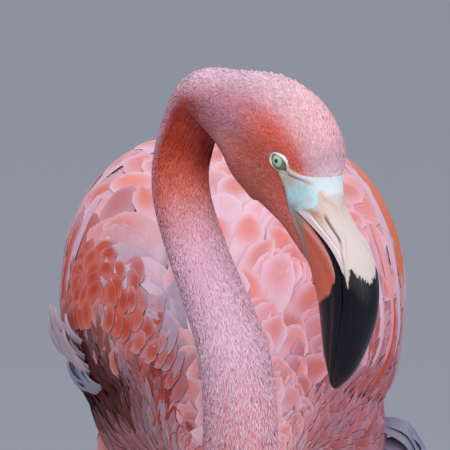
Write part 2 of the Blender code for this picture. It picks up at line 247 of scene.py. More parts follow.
def coat_place(back, turn, out=0.0):
    """The outside of the whole coat, with a shallow hollow round each eye. From BRIDGE behind
    the face to REACH ahead of it a cubic curve leads from the head on to the bill."""
    back, turn, out = alike(back, turn, out)
    at = np.maximum(back, BRIDGE)
    full = sum(
        height * bell(at, middle, np.where(at > middle, behind, before))
        for middle, before, behind, height in THROAT
    )
    full = full * smooth(100, 125, from_top(turn))
    place = body_place(back, turn, out + full)
    near = back < BRIDGE
    if near.any():
        turns, over, full = turn[near], out[near], full[near]
        aside = from_top(turns)
        reach = np.interp(aside, *REACH.T)
        t = np.clip((BRIDGE - back[near]) / (BRIDGE + reach), 0, 1)
        over = over + 0.10 * smooth(95, 112, aside) * smooth(0.1, 0.5, t) * smooth(1.0, 0.72, t)
        start, end = body_place(BRIDGE, turns, over + full), bill_place(reach, turns, over)
        size = np.linalg.norm(end - start, axis=-1, keepdims=True)
        leave = unit(body_place(BRIDGE - 0.05, turns, over + full) - start) * size
        arrive = unit(bill_place(reach + 0.05, turns, over) - end) * size
        t = t[:, None]
        place[near] = (
            (2 * t**3 - 3 * t**2 + 1) * start + (t**3 - 2 * t**2 + t) * leave
            + (3 * t**2 - 2 * t**3) * end + (t**3 - t**2) * arrive
        )
    ahead, above, beside = np.moveaxis(to_head(place), -1, 0)
    off = np.hypot(ahead - LID_MIDDLE[0], above - LID_MIDDLE[1])
    sunk = EYE_HOLLOW * bell(off, 0, EYE_HOLLOW_WIDTH) * smooth(0.8, 1.4, np.abs(beside)) * (back < 5)
    return place - (np.sign(beside) * sunk)[..., None] * HEAD_LEFT


# ---- The skin ----------------------------------------------------------------------------
# One hide over skull, neck, trunk and legs. It is thin and salmon under the feathers, bare
# and chalky blue between the eye and the bill, and pink with small scales on the legs.
SKIN_SIDES = 160
BARE_TOP = np.array(
    [(0.3, 0.62), (0.73, 0.57), (0.91, 0.50), (1.63, 0.63), (2.23, 0.97), (2.45, 1.15), (2.7, 1.6)]
)
BARE_FOOT = np.array(
    [(0.3, -0.12), (0.42, -0.19), (0.94, -0.52), (1.25, -0.75), (1.74, -1.37), (1.96, -1.62),
     (2.41, -1.87), (3.19, -2.36), (3.62, -2.60), (3.75, -3.2), (3.8, -4.2)]
)
EYE_PLACE = np.array([0.124, 0.355])  # ahead of and above the head's centre
EYE_OUT = 1.42  # beside it
LID_OPEN = np.array([0.50, 0.35])  # half the opening, along the head and up
DOWN_DEPTH = np.array(
    [(0, 0.09), (3, 0.11), (10, 0.13), (30, 0.16), (46, 0.34), (54, 0.8), (100, 0.8)]
)
SOCKET_DEPTH = 0.9  # of the hole in the skin that the eyeball fills
BODY_MIDDLE = -3.0  # out this far, from every side, lies about the middle of the body
RUMP_START = 83
RUMP_LENGTH = 3.2


def bare_face(places):
    """How bare the skin is, 0 to 1: the wedge that widens from the eye to the bill."""
    front, top, left = np.moveaxis(to_head(places), -1, 0)
    inside = np.minimum(
        np.interp(front, *BARE_TOP.T) - top, top - np.interp(front, *BARE_FOOT.T)
    )
    inside = np.minimum(inside, (front - 0.3) * 1.2)
    return smooth(-0.06, 0.1, inside) * smooth(0.3, 0.6, np.abs(left) + 3 * (front > 2.3))


def skin_depth(back, bare):
    """How far the skin lies under the tips of the coat."""
    return np.interp(back, *DOWN_DEPTH.T) * (1 - bare)


def placed(name, data):
    """A new object with its data, linked into the scene."""
    made = bpy.data.objects.new(name, data)
    bpy.context.scene.collection.objects.link(made)
    return made


def form(name, *grids, closed=True):
    """A smooth mesh object from grids of points in cm. Each row of a grid closes round, and
    flat faces close its first and its last row."""
    faces, start = [], 0
    for grid in grids:
        rows, sides = grid.shape[:2]
        corner = np.arange(rows * sides).reshape(rows, sides) + start
        ahead = np.roll(corner, -1, axis=1)
        quads = np.stack([corner[:-1], ahead[:-1], ahead[1:], corner[1:]], -1).reshape(-1, 4)
        faces += quads.tolist()
        if closed:
            faces += [corner[0][::-1].tolist(), corner[-1].tolist()]
        start += rows * sides
    mesh = bpy.data.meshes.new(name)
    points = np.concatenate([grid.reshape(-1, 3) for grid in grids])
    mesh.from_pydata((points * CM).tolist(), [], faces)
    mesh.shade_smooth()
    made = placed(name, mesh)
    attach(made, "root")
    return made


def store(piece, name, values):
    """Keep a number or a colour for each point of a piece, for its material to read."""
    values = np.asarray(values, float).reshape(len(piece.data.vertices), -1)
    kind = "FLOAT_COLOR" if values.shape[1] > 1 else "FLOAT"
    layer = piece.data.attributes.new(name, kind, "POINT")
    if kind == "FLOAT":
        layer.data.foreach_set("value", values.ravel())
    else:
        colour = np.ones((len(values), 4))
        colour[:, :3] = values
        layer.data.foreach_set("color", colour.ravel())


class Shade:
    """A shader socket; arithmetic on it adds Math nodes to its material."""

    def __init__(self, socket):
        self.socket = socket

    def math(self, operation, *values):
        """A Math node on the values, or on this one alone where none are given."""
        made = add(self.socket.id_data, "ShaderNodeMath", {"operation": operation})
        for slot, value in zip(made.inputs, values or (self,)):
            join(self.socket.id_data, value, slot)
        return Shade(made.outputs[0])

    def __add__(self, other):
        return self.math("ADD", self, other)

    def __sub__(self, other):
        return self.math("SUBTRACT", self, other)

    def __rsub__(self, other):
        return self.math("SUBTRACT", other, self)

    def __mul__(self, other):
        return self.math("MULTIPLY", self, other)

    def __truediv__(self, other):
        return self.math("DIVIDE", self, other)

    def __pow__(self, other):
        return self.math("POWER", self, other)

    __radd__ = __add__
    __rmul__ = __mul__

    def step(self, low, high):
        """0 below low, 1 above high, smooth between."""
        tree = self.socket.id_data
        made = add(
            tree, "ShaderNodeMapRange", {"interpolation_type": "SMOOTHSTEP"},
            {"Value": self, "From Min": low, "From Max": high},
        )
        return Shade(made.outputs["Result"])


def join(tree, value, slot):
    """Link a shade into a node's socket, or set the socket to a plain value."""
    if isinstance(value, Shade):
        tree.links.new(value.socket, slot)
    else:
        slot.default_value = value


def add(tree, kind, settings=None, inputs=None):
    """A new node with its settings, then the values or links of its sockets."""
    made = tree.nodes.new(kind)
    for name, value in (settings or {}).items():
        setattr(made, name, value)
    for name, value in (inputs or {}).items():
        join(tree, value, made.inputs[name])
    return made


def stored(tree, name, output="Fac"):
    """A number or colour kept on the mesh."""
    settings = {"attribute_type": "GEOMETRY", "attribute_name": name}
    return Shade(add(tree, "ShaderNodeAttribute", settings).outputs[output])


def mixed(tree, share, first, second, how="MIX"):
    """Two colours mixed by a share."""
    made = add(tree, "ShaderNodeMix", {"data_type": "RGBA", "blend_type": how})
    join(tree, share, made.inputs[0])
    for value, slot in ((first, made.inputs[6]), (second, made.inputs[7])):
        join(tree, value if isinstance(value, Shade) else (*value, 1), slot)
    return Shade(made.outputs[2])


def noise(tree, place, scale, detail=2.0, roughness=0.5):
    """Cloudy noise, 0 to 1, at a scale per metre."""
    inputs = {"Scale": scale, "Detail": detail, "Roughness": roughness, "Vector": place}
    return Shade(add(tree, "ShaderNodeTexNoise", {}, inputs).outputs[0])


def object_place(tree, stretch=(1, 1, 1)):
    """Where a point is on the bird, in metres, stretched along each axis."""
    start = Shade(add(tree, "ShaderNodeTexCoord").outputs["Object"])
    made = add(tree, "ShaderNodeMapping", {}, {"Vector": start, "Scale": stretch})
    return Shade(made.outputs[0])


def combined(tree, x, y, z):
    """Three numbers as one place, for noise to read."""
    made = add(tree, "ShaderNodeCombineXYZ", {}, {"X": x, "Y": y, "Z": z})
    return Shade(made.outputs[0])


def new_material(name, roughness=0.6, **constants):
    """A material with one principled shader; returns it, its tree and the shader."""
    made = bpy.data.materials.new(name)
    made.use_nodes = True
    tree = made.node_tree
    shader = tree.nodes["Principled BSDF"]
    shader.inputs["Roughness"].default_value = roughness
    for socket, value in constants.items():
        shader.inputs[socket.replace("_", " ")].default_value = value
    return made, tree, shader


def feed(shader, name, shade):
    """Link a shade into one of the principled shader's sockets."""
    shader.id_data.links.new(shade.socket, shader.inputs[name])


def relief(shader, height, depth):
    """Feed a height, in metres times depth, to the shader's normal."""
    inputs = {"Height": height, "Distance": depth, "Strength": 1.0}
    feed(shader, "Normal", Shade(add(shader.id_data, "ShaderNodeBump", {}, inputs).outputs[0]))


def round_eye(places):
    """Distance from the middle of the nearer eye, 1 at the edge of its lids' opening."""
    front, top, left = np.moveaxis(to_head(places), -1, 0)
    off = np.hypot((front - LID_MIDDLE[0]) / LID_OPEN[0], (top - LID_MIDDLE[1]) / LID_OPEN[1])
    return off + 9 * smooth(1.4, 0.9, np.abs(left))


CREASE = np.array([(0.78, 0.25), (1.08, 0.18), (1.46, 0.29), (1.79, 0.38), (2.15, 0.43)])


def face_folds(places):
    """Height of the folds of the bare face: a crease from the eye's corner towards the bill,
    as a narrow bell across its line, a soft roll above it and fine ones under the eye."""
    front, top, _ = np.moveaxis(to_head(places), -1, 0)
    off = top - np.interp(front, *CREASE.T)
    fade = smooth(0.7, 0.95, front) * smooth(2.6, 1.6, front)
    fine = 0.012 * np.sin(26 * (top + 0.55 * front))
    fine = fine * smooth(1.6, 0.9, front) * smooth(-0.02, -0.15, off)
    return fade * (0.05 * bell(off, 0.12, 0.1) - 0.07 * bell(off, 0, 0.04)) + fine


skin_turn = np.linspace(0, 2 * math.pi, SKIN_SIDES, endpoint=False)[None, :]
over_bill = np.linspace(1, 0, 34)[:, None]  # from the edge on the bill back to BRIDGE
head_back = np.arange(BRIDGE + 0.06, 5, 0.06)
neck_back = np.arange(5, NECK_LENGTH, 0.4)
trunk_back = np.arange(NECK_LENGTH, 86, 1.0)
skin_back = np.concatenate(
    [
        BRIDGE - over_bill * (BRIDGE + np.interp(from_top(skin_turn), *REACH.T)),
        np.concatenate([head_back, neck_back, trunk_back])[:, None] + 0 * skin_turn,
    ]
)
outside = coat_place(skin_back, skin_turn)
bare = bare_face(outside)
socket = SOCKET_DEPTH * smooth(1.3, 1.05, round_eye(outside))
folds = face_folds(outside) * bare
edge = np.zeros_like(skin_back)
edge[: len(over_bill)] = 0.015 * smooth(0.2, 0.5, over_bill) - 0.06 * smooth(0.93, 1, over_bill)
body_skin = coat_place(skin_back, skin_turn, folds + edge - skin_depth(skin_back, bare) - socket)
rump = np.sqrt(1 - np.clip((skin_back - RUMP_START) / RUMP_LENGTH, 0, 0.95) ** 2)
line = body_place(skin_back, skin_turn, BODY_MIDDLE).mean(axis=1, keepdims=True)
body_skin = line + (body_skin - line) * rump[..., None]

# The legs: tubes down to the ankle and the foot. Each foot is a fan of columns of skin, close
# together along the toes, with the web stretched between them and a flat sole.
LEG_SPREAD = 5.0
STRIDE = 1.0
SHANK_TOP = 51.6
SOLE_LEVEL = 1.6
LEG = np.array(
    [
        # beside the leg line, y, z, fore, aft, half width
        (-0.6, 0.6, 70.0, 2.3, 2.3, 1.8),
        (-0.3, 1.2, 67.4, 4.1, 4.1, 2.7),
        (-0.1, 2.4, 62.5, 3.4, 3.4, 2.4),
        (0.1, 3.8, 57.5, 1.9, 2.0, 1.5),
        (0.0, 4.8, 53.5, 0.85, 0.95, 0.75),
        (0.0, 5.3, 51.6, 0.62, 0.62, 0.55),
        (0.0, 5.9, 44.0, 0.56, 0.56, 0.48),
        (0.0, 6.4, 37.5, 0.66, 0.70, 0.57),
        (0.0, 6.5, 36.0, 0.84, 0.88, 0.71),
        (0.0, 6.62, 35.0, 1.01, 1.14, 0.91),
        (0.0, 6.66, 33.8, 1.07, 1.24, 0.99),
        (0.0, 6.55, 32.4, 0.89, 0.99, 0.83),
        (0.0, 6.45, 31.2, 0.68, 0.75, 0.62),
        (0.0, 6.1, 27.5, 0.52, 0.55, 0.44),
        (0.0, 5.3, 17.0, 0.48, 0.50, 0.40),
        (0.0, 4.5, 6.0, 0.52, 0.55, 0.46),
        (0.0, 4.25, 2.2, 0.64, 0.68, 0.58),
    ]
)
TOES = [
    # direction from straight ahead (degrees, outwards), length, half width, turns at the joint
    (-33.0, 6.4, 0.40, (-50, -22)),
    (0.0, 7.6, 0.44, (-12, 12)),
    (33.0, 7.0, 0.40, (22, 50)),
    (168.0, 1.7, 0.30, (157, 179)),
]
TOE_COLUMNS = 9
WEB_COLUMNS = 6
HEELS = [(62.0, 147.0), (189.0, 298.0)]
HEEL_COLUMNS = 9
HEEL = 0.92
WEB = 0.12
FOOT_DOME = 1.25
FOOT_START = 0.62  # radius at which the foot leaves the shin
KNUCKLES = 1.9  # from one toe joint to the next
FOOT_BACK = 4.2  # how far behind the body's middle the foot's joint stands
out_steps = np.linspace(0, 1, 33)


def toe_line(heading):
    """The direction on the floor of a toe turned outwards from straight ahead, in degrees."""
    heading = math.radians(heading)
    return np.array([math.sin(heading), -math.cos(heading)])


def toe_columns(heading, length, half):
    """Path out along a toe for each of its columns: ahead to length less half (1 - sqrt(1 -
    o^2)) at the tip, aside by o half, with o from -1 to 1 across."""
    o = np.linspace(-1, 1, TOE_COLUMNS)[:, None]
    end = length - 0.02 - half * (1 - np.sqrt(1 - 0.96 * o * o))
    ahead = FOOT_START + out_steps * (end - FOOT_START)
    aside = o * half * (1 + 0.06 * np.cos(2 * math.pi * ahead / KNUCKLES)) * (1 - 0.2 * out_steps)
    heading = math.radians(heading)
    x = ahead * math.sin(heading) + aside * math.cos(heading)
    y = -ahead * math.cos(heading) + aside * math.sin(heading)
    return np.stack([x, y], -1)


def foot_height(flat):
    """Height over the floor: the largest of the web, a ridge sqrt(1 - (aside / half)^2) along
    each toe, and a dome sqrt(1 - (radius / FOOT_DOME)^2) at the joint."""
    height = np.full(flat.shape[:-1], WEB)
    for heading, length, half, _ in TOES:
        line = toe_line(heading)
        ahead = flat @ line
        aside = np.abs(flat @ np.array([-line[1], line[0]]))
        arch = np.sqrt(np.clip(1 - (aside / half) ** 2, 0, 1))
        arch = arch * np.clip((length - ahead) / 0.35, 0, 1) ** 0.5
        knuckle = 1 + 0.08 * np.cos(2 * math.pi * ahead / KNUCKLES)
        ridge = WEB + (0.76 - 0.34 * ahead / length) * knuckle * arch
        height = np.maximum(height, np.where(ahead > 0, ridge, 0))
    radius = np.linalg.norm(flat, axis=-1)
    dome = np.sqrt(np.clip(1 - (radius / FOOT_DOME) ** 2, 0, 1)) * (SOLE_LEVEL + 0.15)
    return np.maximum(height, dome)


toes = [toe_columns(*toe[:3]) for toe in TOES]
webs = []
for first, second in zip(toes[:2], toes[1:3]):
    part = np.linspace(0, 1, WEB_COLUMNS + 2)[1:-1, None, None]
    hollow = 1 - 0.24 * out_steps[None, :, None] * np.sin(math.pi * part) ** 0.8
    webs.append((first[-1] * (1 - part) + second[0] * part) * hollow)
heels = []
for low, high in HEELS:
    turn = np.radians(np.linspace(low, high, HEEL_COLUMNS))[:, None]
    reach = FOOT_START + out_steps * (HEEL - FOOT_START)
    heels.append(np.stack([reach * np.sin(turn), -reach * np.cos(turn)], -1))
fan = [toes[0], webs[0], toes[1], webs[1], toes[2], heels[0], toes[3], heels[1]]
fan = np.concatenate(fan).transpose(1, 0, 2)
gaps = [(TOES[0][3][1], TOES[1][3][0]), (TOES[1][3][1], TOES[2][3][0])]
bearing = [np.linspace(*toe[3], TOE_COLUMNS) for toe in TOES]
between = [np.linspace(low, high, WEB_COLUMNS + 2)[1:-1] for low, high in gaps]
behind = [np.linspace(*heel, HEEL_COLUMNS) for heel in HEELS]
bearing = np.radians(np.concatenate(
    [bearing[0], between[0], bearing[1], between[1], bearing[2], behind[0], bearing[3], behind[1]]
))
reach = np.linalg.norm(fan, axis=-1, keepdims=True)
near = reach * np.stack([np.sin(bearing), -np.cos(bearing)], -1)
spread = smooth(0.6, 1.9, reach)
fan = near * (1 - spread) + fan * spread

leg_at = lengths(LEG[:, :3])
leg_steps = np.linspace(0, leg_at[-1], 150)
leg_rows = spline(leg_at, LEG, leg_steps)
c, s = np.sin(bearing)[None, :], np.cos(bearing)[None, :]
fore = np.where(s > 0, leg_rows[:, 3:4], leg_rows[:, 4:5])
tube = np.stack(
    [
        leg_rows[:, 0:1] + leg_rows[:, 5:6] * c,
        leg_rows[:, 1:2] - fore * s,
        leg_rows[:, 2:3] + 0 * c,
    ],
    -1,
)
foot_top = np.concatenate([fan, foot_height(fan)[..., None]], -1)
rim = np.concatenate([fan[-1:] * 1.002, np.full((1, len(bearing), 1), 0.05)], -1)
sole = fan[-1:] * np.array([0.995, 0.8, 0.6, 0.4, 0.2, 0.05])[:, None, None]
sole = np.concatenate([sole, np.zeros(sole.shape[:2] + (1,))], -1)
foot_skin = np.concatenate([foot_top, rim, sole]) + [0, FOOT_BACK, 0]
leg_grid = np.concatenate([tube, foot_skin])
leg_out = np.concatenate([leg_steps, leg_steps[-1] + np.linspace(0, 8, len(foot_skin))])


def leg_side(side):
    """The leg's skin on one side; below the feathers it swings ahead or back by the stride."""
    grid = leg_grid.copy()
    reach = np.clip((SHANK_TOP - grid[..., 2]) / (SHANK_TOP - SOLE_LEVEL), 0, 1)
    grid[..., 0] += LEG_SPREAD
    grid[..., 1] -= STRIDE * side * reach
    return (grid * [side, 1, 1])[:, ::-side]


skin = form("skin", body_skin, leg_side(1), leg_side(-1))
flesh = ["head", "trunk"] + [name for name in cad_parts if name.startswith("neck_")]
for name in ("thigh", "shank", "ankle", "shin", "foot"):
    flesh += [name + "_left", name + "_right"]
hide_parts(*flesh)

# Its look: salmon under the feathers; on the bare face chalk blue with fine wrinkles and tan by
# the nostrils, with painted shade in the crease and round the eye's socket and a painted
# highlight on the roll above the crease; on the legs pink, with scutes down the front.
UNDER_DOWN = np.array((0.66, 0.20, 0.17))
UNDER_FEATHERS = np.array((0.70, 0.36, 0.36))
LORE_BLUE = np.array((0.48, 0.71, 0.74))
LORE_PALE = np.array((0.69, 0.79, 0.82))
LORE_TAN = np.array((0.62, 0.36, 0.22))
LORE_DARK = np.array((0.16, 0.12, 0.10))
CHEEK_EDGE = np.array((0.20, 0.24, 0.26))
GAPE_BROWN = np.array((0.22, 0.15, 0.11))
LEG_PINK = np.array((0.74, 0.34, 0.34))
JOINT_RED = np.array((0.60, 0.16, 0.15))
CREAM = np.array((0.645, 0.545, 0.51))
HORN_TAN = np.array((0.50, 0.245, 0.145))
VEIN_TAN = np.array((0.62, 0.38, 0.27))
LIP_PINK = np.array((0.78, 0.63, 0.62))
BILL_SALMON = np.array((0.67, 0.135, 0.080))
BASE_GREY = np.array((0.30, 0.22, 0.19))
SCUTE_SEAM = (0.42, 0.13, 0.14)


def blend(share, first, second):
    """Colours or places mixed by a share for each."""
    share = np.clip(np.asarray(share, float), 0, 1)[..., None]
    return first * (1 - share) + second * share


def paint(tint, *layers):
    """A colour with layers laid over it in turn, each a share for every point and a colour."""
    for share, colour in layers:
        tint = blend(share, tint, colour)
    return tint


def lore_tint(places):
    """Chalk blue, paler above and towards the bill; tan by the eye's corner, greyish brown by
    the cheek and the gape, with painted shade in the crease and a painted highlight along the
    roll above it."""
    front, top, _ = np.moveaxis(to_head(places), -1, 0)
    cheek = top - np.interp(front, *BARE_FOOT.T)
    off = top - np.interp(front, *CREASE.T)
    crease = bell(off, 0, 0.05) * smooth(0.65, 0.8, front) * (1 - 0.7 * smooth(1.3, 2.3, front))
    return paint(
        LORE_BLUE,
        (smooth(-0.1, 0.55, top) * 0.95 + smooth(2.4, 2.7, front) * 0.3, LORE_PALE),
        (bell(front, 1.1, 0.55) * smooth(-0.7, 0.1, top) * 0.7, LORE_TAN),
        (smooth(1.7, 0.9, front) * 0.3, LORE_TAN * 0.9),
        (smooth(0.45, 0.05, cheek) * smooth(0.7, 1.2, front) * 0.6, CHEEK_EDGE),
        (bell(front, 2.1, 0.35) * bell(top, -1.35, 0.35) * 0.7, GAPE_BROWN),
        # painted shade: dark along the crease of the folds
        (crease * smooth(2.5, 2.1, front) * 0.85, LORE_DARK),
        # painted highlight: pale along the roll above the crease
        (bell(off, 0.13, 0.06) * smooth(0.7, 0.9, front) * smooth(2.0, 1.4, front) * 0.5, LORE_PALE),
    )


# Lines on the bill as pairs: how far ahead of the face and degrees from the bill's top, or the
# other way round for BLUE_END and STRIP_START, which end the bare skin's colours.
GROOVE = np.array(
    [(0, 46), (1.44, 45), (2, 43), (2.7, 39), (3, 41), (3.36, 49), (3.72, 61), (4.41, 73),
     (4.86, 78), (6, 76), (12, 70)]
)
VEIN = np.array([(0, 42), (0.14, 40), (0.38, 35), (0.85, 29), (1.2, 15), (1.4, 8)])
TAN_BAND = np.array([(0.4, 79), (0.54, 76), (0.93, 66), (1.38, 57), (2.6, 55), (3.2, 58)])
LIP_TOP = np.array([(0.2, 80), (0.5, 76), (1, 72), (2.25, 66), (2.8, 62), (3.5, 61), (4.5, 66)])
RIDGE_EDGE = np.array([(2.2, 6), (3.24, 30), (4.05, 51), (4.89, 65), (5.4, 72)])
BLUE_END = np.array(
    [(0, 0.75), (30, 0.6), (38, 0.15), (44, 0.3), (50, 0.75), (64, 0.7), (78, 0.35), (88, 0)]
)
STRIP_START = np.array(
    [(0, 1.4), (40, 1.3), (56, 1.17), (60, 0.85), (66, 0.6), (74, 0.42), (82, 0.3), (90, 0.1)]
)


def upper_tint(places, at, aside):
    """The upper half of the bill, `at` ahead of the face and `aside` degrees from its top:
    cream, with a tan vein, a tan band under the nostril and a pale pink lip."""
    vein = bell(aside, np.interp(at, *VEIN.T), 6) * smooth(2.1, 1.2, at)
    ridge = bell(aside, np.interp(at, *RIDGE_EDGE.T), 2.2) * smooth(2.2, 3.0, at)
    band = bell(aside, np.interp(at, *TAN_BAND.T), 8) * smooth(2.3, 1.0, at)
    lip = np.interp(at, *LIP_TOP.T)
    end = np.interp(aside, *BLUE_END.T)
    end = end + 0.07 * np.sin(aside * 0.9) * np.sin(aside * 0.37 + 1)
    return paint(
        CREAM,
        (smooth(3.2, 1.2, at) * 0.25 * smooth(20, 40, aside), VEIN_TAN),
        (vein * 0.7, VEIN_TAN),
        (ridge * 0.55, VEIN_TAN),
        (band * 0.95, HORN_TAN),
        (smooth(lip, lip + 2.5, aside) * smooth(5.0, 3.6, at), LIP_PINK),
        (bell(aside, lip, 1.3) * smooth(0.7, 1.1, at) * smooth(3.4, 2.6, at) * 0.6, GAPE_BROWN),
        (smooth(end + 0.3, end - 0.2, at), lore_tint(places)),
    )


def lower_tint(at, aside):
    """The lower half, `aside` degrees from its foot: salmon, paler along the mouth, with a
    greyish strip of skin at its base."""
    start = np.interp(aside, *STRIP_START.T)
    start = start + 0.08 * np.sin(aside * 0.8) * np.sin(aside * 0.31)
    return paint(
        BILL_SALMON,
        (bell(aside, 85, 2.2) * smooth(0.2, 1.2, at) * smooth(5.2, 4.2, at) * 0.4, LIP_PINK),
        (smooth(30, 10, aside) * 0.25, BASE_GREY),
        (smooth(start + 0.85, start + 0.3, at) * 0.9, BASE_GREY),
        (smooth(86, 89, aside) * smooth(0.9, 0.1, at) * 0.7, GAPE_BROWN),
    )


def bare_tint(places, at, aside):
    """The bare skin's colours; over the base of the bill they are the bill's own."""
    tint = blend(smooth(0.05, 0.2, at), lore_tint(places), upper_tint(places, at, aside))
    below = smooth(89.5, 92, aside) * smooth(-0.35, 0.0, at)
    return blend(below, tint, lower_tint(at, 180 - aside))


leg_height = leg_grid[..., 2]
leg_tint = paint(
    LEG_PINK,
    (bell(leg_height, 34, 2.2), JOINT_RED),
    (smooth(1.6, 0.3, leg_height) * 0.35, JOINT_RED),
    (smooth(51, 54, leg_height), UNDER_DOWN),
)
under_coat = blend(smooth(44, 52, skin_back), UNDER_DOWN, UNDER_FEATHERS)
face_tint = blend(bare, under_coat, bare_tint(outside, -skin_back, from_top(skin_turn)))
# Painted shade: the skin turns dark where it sinks into the eye's socket under the lids.
face_tint = blend(smooth(1.22, 1.0, round_eye(outside)), face_tint, LORE_DARK)
leg_bare = smooth(52.5, 51.0, leg_height)
fine_skin = bare * smooth(1.0, 0.2, -skin_back)
scutes = np.broadcast_to(leg_out[:, None], leg_bare.shape)
front_facing = np.broadcast_to(smooth(-0.2, 0.5, np.cos(bearing)), leg_bare.shape)
for name, on_body, on_leg in (
    ("tint", face_tint, leg_tint),
    ("bare", fine_skin, 0 * leg_bare),
    ("leg", 0 * bare, leg_bare),
    ("along", 0 * bare, scutes),
    ("front", 0 * bare, front_facing),
):
    store(skin, name, np.concatenate([on_body.ravel(), on_leg.ravel(), on_leg.ravel()]))

skin_look, tree, shader = new_material("skin", 0.55, Specular_IOR_Level=0.35)
place = object_place(tree)
cloudy = noise(tree, place, 220.0, 4.0)
speckle = noise(tree, place, 900.0, 3.0, 0.6)
tint = stored(tree, "tint", "Color")
worn = mixed(tree, cloudy.step(0.52, 0.72) * stored(tree, "bare") * 0.42, tint, tuple(LORE_TAN))
specks = speckle.step(0.63, 0.72) * stored(tree, "bare") * 0.6
worn = mixed(tree, specks, worn, tuple(LORE_DARK))
scute = (stored(tree, "along") * 2.6).math("FRACT")
scute_edge = (scute - 0.5).math("ABSOLUTE").step(0.38, 0.5) * stored(tree, "front")
cells = add(
    tree, "ShaderNodeTexVoronoi", {"feature": "DISTANCE_TO_EDGE"}, {"Vector": place, "Scale": 420.0}
)
cell_edge = Shade(cells.outputs["Distance"]).step(0.12, 0.0) * (1 - stored(tree, "front"))
seams = (scute_edge + cell_edge) * stored(tree, "leg")
worn = mixed(tree, seams * 0.5, worn, SCUTE_SEAM)
feed(shader, "Base Color", worn)
wrinkles = noise(tree, object_place(tree, (1.0, 1.0, 0.6)), 700.0, 3.0, 0.6) * stored(tree, "bare")
relief(shader, wrinkles * 0.6 + cloudy * 0.4 - seams * 0.8, 0.0004)
skin.data.materials.append(skin_look)

# ---- The bill ----------------------------------------------------------------------------
# Two halves of horn that part along a bent mouth line. The upper has a flat ridge plate with a
# groove on each side that holds the nostril, and a lip under the groove; the tip is black.
# Where the black starts on each half: degrees from its top or its foot, then ahead of the face.
BLACK_ABOVE = np.array(
    [(0, 5.15), (17, 5), (34, 4.8), (45, 4.4), (54, 4.55), (64, 5.05), (71, 5.35), (75, 4.9),
     (79, 4.6), (83, 4.4), (86, 4.2), (88, 3.9), (90, 3.5)]
)
BLACK_BELOW = np.array(
    [(0, 7.4), (30, 7.2), (50, 6.6), (70, 5.85), (74, 5.4), (81, 4.95), (83.5, 4.75), (85.5, 4.0),
     (87.5, 3.0), (89, 2.0), (90, 1.4)]
)
BLACK = np.array((0.006, 0.005, 0.009))
# Painted shade in the nostril's opening.
NOSTRIL_SHADE = BLACK + (0.05, 0.02, 0.01)
bill_at = np.concatenate([[-0.25, -0.1], np.linspace(0.05, bill_knots[-1] - 0.02, 150)])
bill_path, bill_along, bill_size = bill_line(bill_at)
bill_left = np.broadcast_to(HEAD_LEFT, bill_path.shape)
bill_top = np.cross(bill_along, bill_left)


def bill_half(turn, rise, inner):
    """Rows across one half of the bill: an oval of the half width and the depth in the rise
    direction, out by the relief, then back along the mouth with the inner surface sunk."""
    width, depth = bill_size[:, 2:3], bill_size[:, 0:1] if rise > 0 else bill_size[:, 1:2]
    depth = depth - (bill_size[:, 3:4] if rise < 0 else 0)
    aside = np.degrees(np.abs(turn - math.pi / 2))[None, :]
    at = bill_at[:, None]
    end = smooth(bill_knots[-1] + 0.05, bill_knots[-1] - 0.5, at)
    if rise > 0:
        groove = np.interp(at, *GROOVE.T)
        deep = 0.045 + 0.10 * smooth(1.3, 1.6, at) * smooth(3.4, 2.9, at)
        lip = np.interp(at, *LIP_TOP.T)
        relief_out = (
            -deep * bell(aside, groove, 3.5) * smooth(1.2, 1.5, at) * smooth(10.5, 7, at)
            + 0.03 * bell(aside, groove - 9, 6) * smooth(1.0, 1.8, at)
            + 0.04 * bell(aside, lip + 6, 4) * smooth(0.6, 1.2, at) * smooth(5, 3, at)
            - 0.03 * bell(aside, lip, 2.5) * smooth(0.6, 1.2, at) * smooth(6, 4, at)
        )
    else:
        relief_out = (
            0.035 * bell(aside, 80, 5)
            - 0.03 * bell(aside, 70, 5) * smooth(1, 2, at)
            - 0.02 * bell(aside, 38, 6) * smooth(2, 4, at)
        )
    relief_out = (relief_out - 0.012) * end * smooth(-0.1, 0.3, at)
    tucked = np.minimum(at, 0) * 0.5
    c, s = np.cos(turn), np.sin(turn)
    across = (width + relief_out + tucked) * c
    up = (depth + relief_out + tucked) * s * rise
    inside = np.linspace(-1, 1, inner + 2)[1:-1]
    hollow = np.sqrt(1 - inside**2) * np.minimum(0.5 * depth, 0.35)
    across = np.concatenate([across, (width + relief_out[:, -1:] + tucked) * inside], axis=1)
    up = np.concatenate([up, hollow * rise], axis=1)
    base = bill_path - (bill_size[:, 3:4] * bill_top if rise < 0 else 0)
    grid = base[:, None] + across[..., None] * bill_left[:, None] + up[..., None] * bill_top[:, None]
    return grid if rise > 0 else grid[:, ::-1]


